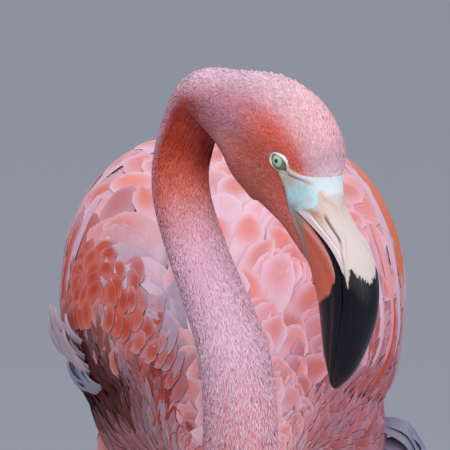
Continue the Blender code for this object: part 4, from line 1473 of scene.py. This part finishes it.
def plumage(label, back, turn, size, half, heading, rim, depth, lift, paler, **shape):
    """One set of body feathers, parted into breast, back and the two wings."""
    patch, margin = plumage_tint(back, turn)
    patch = blend(paler, patch, margin)
    patch = patch * seeded.uniform(0.86, 1.08, (back.size, 1))
    rim = rim * np.clip(4 * margin[:, 1], 0.1, 1)
    vanes = lay(plumage_place, back, turn, size, half, depth, lift, heading, **shape)
    home = root_patch(turn, back)
    root_out = outward(plumage_place, back, turn)
    tip_out = outward(plumage_place, np.minimum(back + size * 0.9, SHADED_END), turn)
    facing = np.stack([root_out, tip_out], 1)
    share, across = wing_share(back), wing_across(back, turn)
    on_wing = (share > 0.0) & (across > -0.06) & (across < 1.04)
    left_side = np.cos(turn) > 0
    for place, part in (
        ("breast", ~on_wing & (back < BREAST_END)),
        ("back", ~on_wing & (back >= BREAST_END)),
        ("wing_left", on_wing & left_side),
        ("wing_right", on_wing & ~left_side),
    ):
        if part.any():
            coat(f"{label}_{place}", vanes[part], patch[part], rim[part], home[part],
                 facing=facing[part], own=0.13, margin=margin[part])


def wing_droop(back, turn):
    """How far a feather's heading turns down the side, most at the bend of the wing."""
    share = wing_share(back)
    on_wing = (share > 0.0) & (np.abs(wing_across(back, turn) - 0.5) < 0.55)
    droop = np.interp(share, [0, 0.1, 0.35, 0.9], [0.4, 0.3, 0.15, 0.1])
    return -np.sign(np.cos(turn)) * np.where(on_wing, droop, 0.05)


# The broad feathers; those of the upper back are longer and narrower.
feather_back, feather_share = rooted_rows(
    (NECK_LENGTH - 1.0, 92.0), feather_step, lambda b: feather_step(b) * 0.85, length_round
)
feather_turn = 2 * math.pi * feather_share
before_tip = wing_share(feather_back) < TIP_SHARE
off_wing = np.abs(wing_across(feather_back, feather_turn) - 0.5) > 0.55
keep = (before_tip | off_wing) & ((feather_back < RUMP_END) | before_tip)
feather_back, feather_turn = feather_back[keep], feather_turn[keep]
count = feather_back.size
mantle = smooth(48, 51, feather_back) * smooth(72, 64, feather_back)
mantle = smooth(0.5, 0.85, np.sin(feather_turn)) * mantle
step = feather_step(feather_back)
even = calm(feather_back, feather_turn)
size = step * (3.0 + 1.2 * mantle) * seeded.uniform(0.85, 1.15, count)
half = step * (0.78 - 0.14 * mantle) * seeded.uniform(0.9, 1.12, count)
heading = wing_droop(feather_back, feather_turn) + seeded.normal(0, 0.2, count)
beside = bell(feather_back, 51.0, 3.0) * bell(np.degrees(feather_turn), 128, 15)
rim = seeded.uniform(0.7, 1.0, count) * (1 - 0.7 * np.clip(even + 1.3 * beside, 0, 1))
plumage("feathers", feather_back, feather_turn, size, half, heading, rim, 0.7,
        0.68 * seeded.uniform(0.97, 1.03, count) - 0.14 * even, seeded.uniform(0, 1, count) ** 3 * 0.8,
        grid=(9, 7), tip=0.34, cup=0.06, fray=0.06, rise=0.42)

# Narrow plumes in their place on the breast and before the wings, fanning up and outward.
plume_back, plume_share = rooted_rows(
    (NECK_LENGTH - 1.5, 60.0), lambda b: np.interp(b, [44, 50, 60], [0.45, 0.7, 1.1]),
    lambda b: np.interp(b, [44, 50, 60], [0.32, 0.45, 0.7]), length_round,
)
plume_turn = 2 * math.pi * plume_share
keep = calm(plume_back, plume_turn) > 0.3
plume_back, plume_turn = plume_back[keep], plume_turn[keep]
count = plume_back.size
size = np.interp(plume_back, [44, 50, 60], [2.0, 3.0, 4.2]) * seeded.uniform(0.8, 1.15, count)
half = np.interp(plume_back, [44, 50, 60], [0.42, 0.64, 0.9]) * seeded.uniform(0.8, 1.2, count)
fanned = np.interp(np.cos(plume_turn), [-1, -0.3, 0, 0.3, 1], [-0.7, -0.6, 0, 0.25, 0.3])
heading = fanned + seeded.normal(0, 0.05, count)
plumage("plumes", plume_back, plume_turn, size, half, heading, seeded.uniform(0.3, 1, count),
        0.24, 0.22 * seeded.uniform(0.95, 1.05, count), seeded.uniform(0, 1, count) ** 1.5,
        grid=(7, 5), tip=0.5, cup=0.03, fray=0.1, root=0.5, point=0.5, rise=0.5)

# Ruffled small coverts ring the bend of the bird's right wing, their tips turned up and out.
# Each ring is r (c a + s b) round their middle, drawn so that it looks round from before.
RUFFLE = (53.7, 152.0)  # the middle of the rings: distance behind the face, degrees round
RUFFLE_RADIUS = 8.4  # of the body there
RUFFLE_SIDE, RUFFLE_UP = np.array((1.6, 0.95)), np.array((0.7, -0.5))
ring_at, ring = [], []
for distance in np.arange(0.05, 2.6, 0.36):
    spread = np.linspace(-0.4, 3.3, 3 + int(distance * 3.6))
    spread = spread + seeded.uniform(-0.06, 0.06, spread.size)
    around = np.outer(np.cos(spread), RUFFLE_SIDE) + np.outer(np.sin(spread), RUFFLE_UP)
    ring_at.append(distance * around)
    ring.append(np.full(spread.size, distance))
ring_at, ring = np.concatenate(ring_at), np.concatenate(ring)
aim = np.arctan2(ring_at[:, 1], ring_at[:, 0])
curl_back = RUFFLE[0] + ring_at[:, 0]
curl_turn = math.radians(RUFFLE[1]) + ring_at[:, 1] / RUFFLE_RADIUS
count = aim.size
patch, margin = plumage_tint(curl_back, curl_turn)
ringed = 0.45 + 0.4 * np.sin(ring * 9.0)
patch = blend(ringed + seeded.uniform(-0.1, 0.1, count), patch, DEEP * 0.8)
vanes = lay(plumage_place, curl_back, curl_turn, seeded.uniform(1.3, 1.7, count),
            seeded.uniform(0.7, 0.9, count), 0.25, 0.31, aim + seeded.normal(0, 0.06, count),
            grid=(7, 7), tip=0.3, cup=0.03, fray=0.04, rise=0.5)
facing = outward(plumage_place, curl_back, curl_turn)
coat("ruffled_coverts", vanes, patch, seeded.uniform(0.4, 0.75, count),
     root_patch(curl_turn, curl_back), facing=facing, own=0.2, margin=margin)


def loose_plumes(name, roots, reach, spread, half, tint):
    """Curled plumes that stand off the coat. Each runs from its root out by reach, and its
    middle line at t is root + t reach - 0.22 sin(pi t) |reach| bow."""
    count = len(roots)
    back, turn = roots[:, 0], np.radians(roots[:, 1])
    start = plumage_place(back, turn, -0.25)
    out = outward(plumage_place, back, turn)
    reach = np.asarray(reach, float) + spread * seeded.uniform(-1, 1, (count, 3))
    bow = unit(np.cross(reach, np.cross(reach, out)))
    t = np.linspace(0, 1, 12)[None, :, None]
    c = np.linspace(-1, 1, 5)[None, None, :, None]
    size = np.linalg.norm(reach, axis=-1)[:, None, None]
    centre = start[:, None] + t * reach[:, None] - 0.22 * size * np.sin(math.pi * t) * bow[:, None]
    across = unit(np.cross(reach, bow))[:, None, None]
    wide = half * np.sin(math.pi * np.clip(t * 0.86 + 0.12, 0, 1)) ** 0.7
    points = centre[:, :, None] + across * c * wide[:, :, None]
    points = points + 0.2 * half * (c * c) * bow[:, None, None]
    tints = np.broadcast_to(tint, (count, 3)) * seeded.uniform(0.9, 1.05, (count, 1))
    edge = np.array(tint) * 0.75 + CHALK * 0.2
    coat(name, points, tints, 0.7, root_patch(turn, back), margin=edge)


LOOSE = {
    # roots behind the face and degrees round, how many; reach, its spread, half width, colour
    "bend": ((53.5, 56.5), (168, 177), 20, (-1.35, 0.9, 1.8), (0.25, 0.2, 0.3), 0.55,
             (0.50, 0.36, 0.42)),
    "side": ((53.2, 54.6), (179, 183), 12, (-1.4, 0.5, 1.1), (0.25, 0.2, 0.3), 0.36,
             (0.26, 0.27, 0.36)),
    # The flank's plumes are pale; their dark blue grey is painted shade.
    "flank": ((56.5, 59.0), (-36, -18), 36, (2.2, 0.2, -2.1), (0.4, 0.4, 0.6), 0.8,
              (0.17, 0.18, 0.27)),
}
for label, (back_ends, turn_ends, count, reach, spread, half, tint) in LOOSE.items():
    roots = np.stack([seeded.uniform(*back_ends, count), seeded.uniform(*turn_ends, count)], -1)
    loose_plumes(f"loose_plumes_{label}", roots, reach, spread, half, tint)


def draped(name, path, half, out, tint, margin):
    """Long narrow coverts that hang round the bend of a wing: along each path of distances
    behind the face and degrees round, half wide, their edges and ends sunk into the coat."""
    path = np.asarray(path, float)
    knots = path.shape[1]
    rows = np.linspace(0, knots - 1, 14)
    line = np.stack([spline(np.arange(knots), each, rows) for each in path])
    u, v = line[..., 0], np.radians(line[..., 1])
    start = plumage_place(u, v)
    per_u = np.linalg.norm(plumage_place(u + 0.05, v) - start, axis=-1) / 0.05
    per_v = np.linalg.norm(plumage_place(u, v + 0.01) - start, axis=-1) / 0.01
    du, dv = np.gradient(u, axis=1) * per_u, np.gradient(v, axis=1) * per_v
    long = np.hypot(du, dv)
    facing = outward(plumage_place, u[:, ::13], v[:, ::13])
    home = root_patch(v[:, 0], u[:, 0])
    u, v, per_u, per_v, du, dv, long = (x[..., None] for x in (u, v, per_u, per_v, du, dv, long))
    t = np.linspace(0, 1, 14)[None, :, None]
    c = np.linspace(-1, 1, 7)[None, None, :]
    half, out = np.reshape(half, (-1, 1, 1)), np.reshape(out, (-1, 1, 1))
    wide = half * np.sin(math.pi * np.clip(0.14 + 0.82 * t, 0, 1)) ** 0.6 * c
    height = out * smooth(0.0, 0.2, t) * smooth(1.05, 0.8, t) * (1 - 1.5 * c * c) - 0.05
    points = plumage_place(u - wide * dv / long / per_u, v + wide * du / long / per_v, height)
    coat(name, points, np.asarray(tint), 0.6, home, facing=facing, own=0.15,
         margin=np.asarray(margin))


LEFT_STRIPS = [
    # path, half width, height over the coat, kind
    ([(68.0, 52), (67.0, 45), (65.4, 37), (63.4, 30), (61.4, 22), (59.6, 15)], 1.2, 0.07, "orange"),
    ([(66.2, 53), (65.0, 46), (63.4, 38), (61.8, 31), (60.2, 25), (58.8, 18)], 0.90, 0.09, "orange"),
    ([(64.8, 56), (63.3, 48), (61.4, 39), (59.9, 32), (58.6, 26), (57.2, 19)], 0.36, 0.11, "lilac"),
    ([(58.5, 40), (57.5, 33), (56.5, 24), (55.9, 16), (55.2, 10), (54.2, 6)], 0.50, 0.10, "salmon"),
    ([(60.9, 40), (59.6, 33), (58.2, 25), (57.2, 17), (56.8, 10), (56.2, 4)], 0.42, 0.12, "lilac"),
    ([(57.0, 43), (55.8, 35), (54.9, 26), (54.4, 19), (53.8, 13), (53.0, 9)], 0.36, 0.10, "chalk"),
    ([(60.0, 24), (59.3, 15), (58.9, 8), (58.3, 1), (57.6, -4), (57.0, -8)], 0.60, 0.10, "grey"),
    ([(56.6, 25), (56.1, 19), (55.6, 13), (55.0, 8), (54.4, 4), (53.7, 1)], 0.24, 0.15, "red"),
]
RIGHT_STRIPS = [
    ([(66.5, 134), (66.0, 142), (64.9, 149), (63.1, 155), (60.8, 161), (58.8, 167)],
     0.70, 0.03, "grey"),
    ([(60.8, 136), (60.1, 142), (59.3, 148), (58.6, 154), (57.9, 159), (57.2, 164)],
     0.55, 0.11, "lilac"),
    ([(61.0, 146), (60.5, 150), (59.9, 154), (59.2, 158), (58.6, 162), (58.0, 166)],
     0.22, 0.14, "red"),
    ([(64.0, 112), (64.2, 122), (64.2, 132), (64.0, 139), (63.6, 146), (63.0, 152)],
     0.60, 0.07, "chalk"),
]
DRAPED = {
    # the patch and the margin of each kind
    "orange": ((0.70, 0.15, 0.06), (0.68, 0.19, 0.11)),
    "lilac": ((0.60, 0.41, 0.53), (0.68, 0.46, 0.56)),
    "salmon": ((0.74, 0.26, 0.21), (0.74, 0.38, 0.42)),
    "chalk": ((0.66, 0.38, 0.44), (0.74, 0.52, 0.62)),
    "grey": ((0.50, 0.26, 0.31), (0.54, 0.36, 0.44)),
    "red": ((0.52, 0.06, 0.03), (0.60, 0.12, 0.07)),
}
for label, strips in (("left", LEFT_STRIPS), ("right", RIGHT_STRIPS)):
    path, half, out, kind = zip(*strips)
    patch, margin = zip(*(DRAPED[each] for each in kind))
    draped(f"draped_coverts_{label}", path, half, out, patch, margin)


def mirrored_plumage(side):
    """The outside of trunk and wings, mirrored to the right where side is -1."""
    return lambda back, turn, out=0.0: plumage_place(back, turn, out) * [side, 1, 1]


# Long inner wing feathers droop over the flight feathers, whose black tips show under them.
for side, label in SIDES:
    place = mirrored_plumage(side)
    count = 26
    share = np.tile(np.linspace(0.52, 0.76, 2), count // 2) + seeded.uniform(-0.04, 0.04, count)
    across = np.linspace(0.03, 0.8, count) + seeded.uniform(-0.02, 0.02, count)
    back, turn = wing_spot(share, across)
    length = np.minimum(seeded.uniform(11, 14, count), LAST_TIP + 0.2 - back)
    vanes = lay(place, back, turn, length, seeded.uniform(0.9, 1.15, count), 0.55,
                seeded.uniform(0.55, 0.75, count), -0.10 + seeded.normal(0, 0.03, count),
                grid=(12, 5), tip=0.12, cup=0.2, fray=0.02)
    tint = blend(seeded.uniform(0.0, 0.6, count), SALMON, ROSE)
    coat(f"drooping_feathers_{label}", vanes, tint, 0.8, root_patch(turn, back), side, margin=LILAC)
    count = 7
    share = np.linspace(0.70, 0.80, count)
    turn = np.radians(np.linspace(6, 24, count))
    back = FACE - WING_FRONT * (1 - share)
    length = LAST_TIP - back - np.linspace(3.0, 0, count)
    vanes = lay(place, back, turn, length, 0.9, 0.75, 0.55, 0.04,
                grid=(12, 5), tip=0.1, cup=0.15, fray=0.01, root=0.7)
    coat(f"flight_feathers_{label}", vanes, np.full((count, 3), QUILL_BLACK), 0.0,
         root_patch(turn, back), side)

# ---- Tail --------------------------------------------------------------------------------
# Seventeen short stiff feathers in three layers fan out behind the rump, under the wings' tips.
TAIL = np.array(
    [
        # x, y, z, above, below, beside
        (0.0, 18.0, 72.2, 1.0, 1.8, 1.6),
        (0.0, 22.2, 71.3, 0.9, 1.6, 2.2),
        (0.0, 25.0, 70.3, 0.6, 1.1, 3.2),
        (0.0, 29.0, 68.7, 0.35, 0.6, 4.0),
        (0.0, 32.6, 67.2, 0.2, 0.25, 3.6),
        (0.0, 34.0, 66.6, 0.1, 0.1, 2.2),
    ]
)
tail_at = lengths(TAIL[:, :3])
t = np.linspace(0, 1, 12)[:, None]
c = np.linspace(-1, 1, 7)[None, :]
tail_vanes, tail_home = [], []
for spread, under in ((6, 0.0), (6, 0.25), (5, 0.5)):
    start = 4.2 + under
    for aim in np.linspace(-1, 1, spread):
        length = tail_at[-1] - start - 0.15 - 0.8 * abs(aim)
        at = start + length * t * (1 - 0.07 * (1 - np.sqrt(1 - 0.9 * c * c)))
        middle = spline(tail_at, TAIL[:, :3], at)
        half = 0.95 * (0.5 + 0.5 * np.sin(0.5 * math.pi * np.minimum(1, t / 0.7)))
        aside = aim * 1.3 * (1 - t) + aim * 3.3 * t + c * half
        rise = 0.28 * (1 - t) - under * 0.5 - 0.06 * aside**2 * (1 - 0.5 * t) - 0.12 * c * c * half
        tail_vanes.append(middle + aside[..., None] * BIRD_LEFT + rise[..., None] * UP)
        tail_home.append((0.25 + 0.02 * aim, 0.95))
tail_vanes, tail_home = np.array(tail_vanes), np.array(tail_home)
tint = blend(seeded.uniform(0.2, 0.8, len(tail_vanes)), SALMON, ROSE)
piece = coat("tail_feathers", tail_vanes, tint, 0.9, tail_home, margin=LILAC)
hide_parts("tail")

# ---- Thighs ------------------------------------------------------------------------------
# Soft short feathers cover each thigh down to where the bare leg begins.
thigh_rows = LEG[:6].copy()
thigh_rows[:, 3:] += np.array([0.5, 0.5, 0.5, 0.4, 0.3, 0.05])[:, None]
thigh_at = lengths(thigh_rows[:, :3])


def thigh_place(side):
    """The outside of a thigh: ovals down its line, out by the last value."""

    def place(down, turn, out=0.0):
        down, turn, out = alike(down, turn, out)
        rows = spline(thigh_at, thigh_rows, np.clip(down, 0, thigh_at[-1] + 0.6))
        fore = np.where(np.cos(turn) > 0, rows[..., 3], rows[..., 4]) + out
        x = LEG_SPREAD + rows[..., 0] + (rows[..., 5] + out) * np.sin(turn)
        y = rows[..., 1] - fore * np.cos(turn)
        return np.stack([x * side, y, rows[..., 2] + 0 * x], -1)

    return place


for side, label in SIDES:
    place = thigh_place(side)
    down, share = rooted_rows(
        (1.5, thigh_at[-1] - 0.4),
        lambda d: np.interp(d, [0, 8, 18], [1.0, 0.8, 0.45]),
        lambda d: np.interp(d, [0, 8, 18], [0.9, 0.7, 0.4]),
        lambda d: np.interp(d, [0, 3, 8, 13, 17, 19], [18, 26, 22, 13, 7, 4.5]),
    )
    count = down.size
    size = np.interp(down, [0, 8, 18], [3.2, 2.6, 1.3]) * seeded.uniform(0.8, 1.15, count)
    vanes = lay(place, down, 2 * math.pi * share, size, np.interp(down, [0, 8, 18], [0.75, 0.6, 0.3]),
                0.35, 0.38, seeded.normal(0, 0.12, count), grid=(6, 5), tip=0.5, cup=0.15, fray=0.1)
    tint = blend(seeded.uniform(0.1, 0.7, count), SALMON * 0.9, ROSE)
    tint = blend(smooth(8, 17, down) * 0.6, tint, DEEP * [1.1, 1.6, 1.6])
    coat(f"thigh_feathers_{label}", vanes, tint, seeded.uniform(0.3, 0.8, count),
         np.stack([share % 1, 0.4 + 0.02 * down], -1), side,
         outward(place, down, 2 * math.pi * share), 0.4, PALE)

# ---- Claws ---------------------------------------------------------------------------------
# Short blunt nails of dark horn, one at the tip of each toe.
nail_look, tree, shader = new_material("nail", 0.35, Specular_IOR_Level=0.4)
ridges = noise(tree, object_place(tree, (1, 1, 3)), 900.0)
colour = mixed(tree, ridges, (0.018, 0.014, 0.013), (0.07, 0.05, 0.045))
feed(shader, "Base Color", colour)
TOE_NAMES = ("inner", "middle", "outer", "back")
for side, label in SIDES:
    for name, (heading, length, half, _) in zip(TOE_NAMES, TOES):
        line = np.append(toe_line(heading), 0.0)
        cross = np.cross(UP, line)
        t = np.linspace(0, 1, 16)[:, None]
        round_t = np.linspace(0, 2 * math.pi, 20, endpoint=False)[None, :]
        fat = 0.19 * np.sqrt(np.clip(1 - t**1.6, 0.004, 1))
        middle = line * (length - 0.12 + 0.93 * t[..., None]) + UP * (0.30 - 0.10 * t[..., None] ** 2)
        flat = np.where(np.sin(round_t) < 0, 0.55, 1.0)
        ring = middle + (fat * np.cos(round_t))[..., None] * cross
        ring = ring + (fat * flat * np.sin(round_t))[..., None] * UP
        ring = ring + [LEG_SPREAD, FOOT_BACK - STRIDE * side, 0]
        nail = form(f"nail_{label}_{name}", (ring * [side, 1, 1])[:, ::-side])
        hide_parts(f"claw_{label}_{name}")
        nail.data.materials.append(nail_look)

# ---- Floor, light and camera ---------------------------------------------------------------
# A plain pale floor, soft lamps overhead and in front, and a camera a little over the bird's
# head, looking down on it.
floor_mesh = bpy.data.meshes.new("floor")
floor_mesh.from_pydata([(-40, -40, 0), (40, -40, 0), (40, 40, 0), (-40, 40, 0)], [], [(0, 1, 2, 3)])
floor = placed("floor", floor_mesh)
floor_look, tree, shader = new_material("floor", 0.9)
shader.inputs["Base Color"].default_value = (0.50, 0.51, 0.53, 1)
floor_mesh.materials.append(floor_look)

world = bpy.data.worlds.new("room")
bpy.context.scene.world = world
world.use_nodes = True
sky = world.node_tree.nodes["Background"]
sky.inputs["Color"].default_value = (0.80, 0.86, 1.0, 1)
sky.inputs["Strength"].default_value = 0.6

AIM = Vector((-0.0045, -0.285, 0.833))
LIT = Vector((0, -0.1, 0.75))
CAMERA_DISTANCE = 3.0
CAMERA_RAISED = math.radians(8)


def lamp(name, place, size, power, colour):
    """A soft square lamp aimed at the bird's breast."""
    light = bpy.data.lights.new(name, "AREA")
    light.size = size
    light.energy = power
    light.color = colour
    made = placed(name, light)
    made.location = place
    made.rotation_euler = (LIT - Vector(place)).to_track_quat("-Z", "Y").to_euler()


lamp("overhead", (-0.3, -1.0, 3.0), 1.8, 36, (1.0, 0.98, 0.96))
lamp("front", (0.7, -3.2, 1.7), 1.6, 21, (1.0, 0.98, 0.97))
lamp("side", (2.4, -1.7, 1.2), 1.4, 21, (1.0, 0.98, 0.97))
lamp("behind", (0.5, 2.4, 2.0), 1.6, 14, (0.9, 0.95, 1.0))

lens = bpy.data.cameras.new("camera")
lens.lens = 444
lens.sensor_width = 36
lens.clip_start = 0.05
lens.clip_end = 100
camera = placed("camera", lens)
bpy.context.scene.camera = camera
away = Vector((0, -math.cos(CAMERA_RAISED), math.sin(CAMERA_RAISED)))
camera.location = AIM + away * CAMERA_DISTANCE
camera.rotation_euler = (AIM - camera.location).to_track_quat("-Z", "Y").to_euler()
bpy.context.scene.view_settings.view_transform = "Standard"
